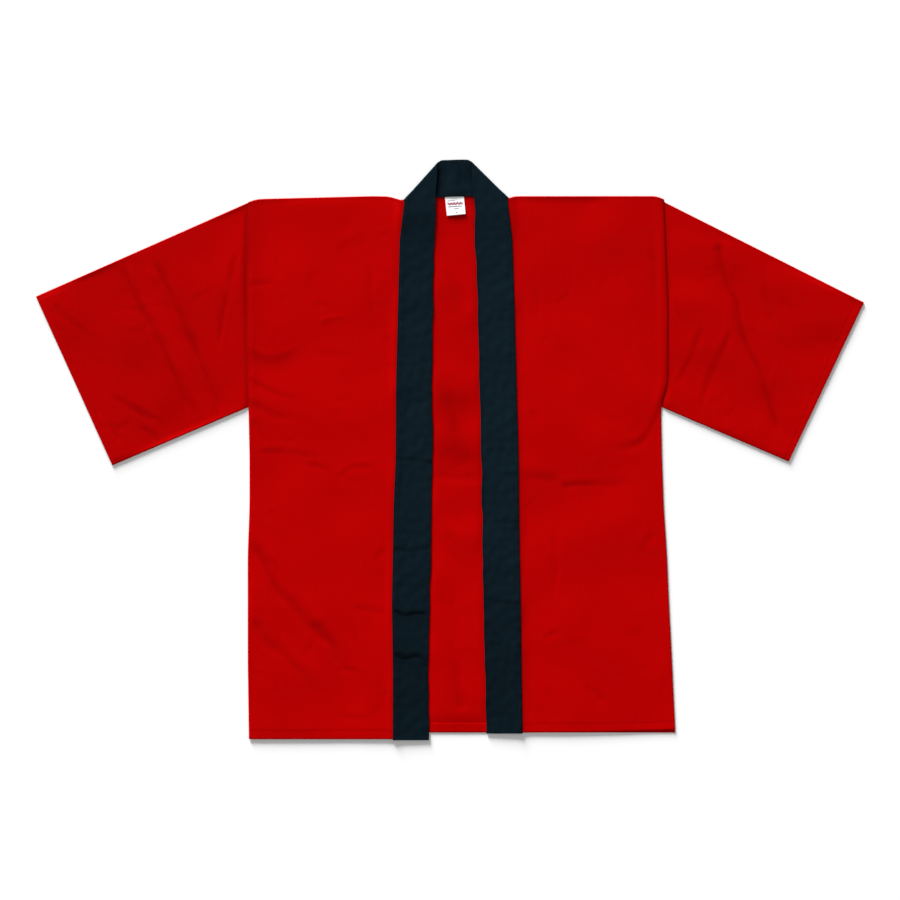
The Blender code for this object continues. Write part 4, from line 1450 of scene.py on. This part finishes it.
def make_tape(name):
    """White satin tape: fine ribs from side to side, and threads that aren't all alike."""
    material, tree, surface = new_material(name)
    uv = tree.nodes.new("ShaderNodeUVMap").outputs[0]
    ribs = streaks(tree, uv, RIB_STREAKS)
    share = math_node(tree, "ADD", math_node(tree, "MULTIPLY", ribs, 1.5), 0.5)
    colour = blended(tree, share, (0.84, 0.85, 0.86), (0.93, 0.94, 0.95))
    tree.links.new(colour, surface.inputs["Base Color"])
    add_relief(tree, surface, ribs, 0.3, RIB_HEIGHT)
    surface.inputs["Roughness"].default_value = 0.5
    return material


def make_label():
    top_tuck = -LABEL_TUCK / (LABEL_HIGH.y - LABEL_LOW.y)
    across, down = np.meshgrid(np.linspace(0, 1, LABEL_GRID), np.linspace(top_tuck, 1, LABEL_GRID))
    points = with_hem(on_label(across, down), 1, LABEL_HEM)
    cut = flat_cut(points)
    tape = make_tape("white_satin_tape")
    return make_cloth("neck_label", points[:, ::-1], cut[:, ::-1], tape, thickness=TAPE), cut


label, label_cut = make_label()

# %% [markdown]
# The label's print is only hinted at, with plain marks and no lettering. The marks are thin shapes
# that lie on the tape, so they stay sharp at any distance.

# %% The print, as plain marks
Mark = namedtuple("Mark", "ink left right top bottom wave")
INKS = {"mauve_ink": (0.30, 0.05, 0.10), "grey_ink": (0.12, 0.12, 0.15), "moss_ink": (0.16, 0.20, 0.14)}
MARKS = (
    Mark("grey_ink", 0.12, 0.50, 0.13, 0.16, 0.0),
    Mark("mauve_ink", 0.10, 0.90, 0.26, 0.40, 0.028),
    Mark("grey_ink", 0.12, 0.84, 0.47, 0.525, 0.0),
    Mark("grey_ink", 0.40, 0.66, 0.61, 0.655, 0.0),
    Mark("moss_ink", 0.49, 0.58, 0.83, 0.885, 0.0),
)
INK_LIFT = 0.03
INK_GRAIN = (900, 900, 1)
BARE_TAPE = (0.7, 0.68, 0.68)


def make_ink(name, colour):
    """Printed ink, a little uneven where the ribs of the tape took less of it."""
    material, tree, surface = new_material(name)
    uv = tree.nodes.new("ShaderNodeUVMap").outputs[0]
    worn = math_node(tree, "ADD", math_node(tree, "MULTIPLY", streaks(tree, uv, INK_GRAIN), 0.9), 0.12)
    tree.links.new(blended(tree, worn, colour, BARE_TAPE), surface.inputs["Base Color"])
    surface.inputs["Roughness"].default_value = 0.6
    return material


def make_marks():
    inks = {name: make_ink(name, colour) for name, colour in INKS.items()}
    pieces = []
    for number, mark in enumerate(MARKS):
        across, down = np.meshgrid(np.linspace(mark.left, mark.right, 33), (mark.top, mark.bottom))
        down = down + mark.wave * np.sin(across * 38) * (1 + 0.5 * np.sin(across * 13))
        points = on_label(across, down, TAPE / 2 + INK_LIFT)
        cut = np.stack([points[..., 0], points[..., 1]], axis=2)
        pieces.append(make_cloth("mark_" + str(number), points[:, ::-1], cut[:, ::-1], inks[mark.ink],
                                 thickness=INK_LIFT))
    bpy.ops.object.select_all(action="DESELECT")
    for piece in pieces:
        piece.select_set(True)
    bpy.context.view_layer.objects.active = pieces[0]
    bpy.ops.object.join()
    marks = bpy.context.object
    marks.name = "label_marks"
    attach(marks, "root")
    print("marks on the label:", len(MARKS))
    return marks


label_marks = make_marks()
declare(label, "label")
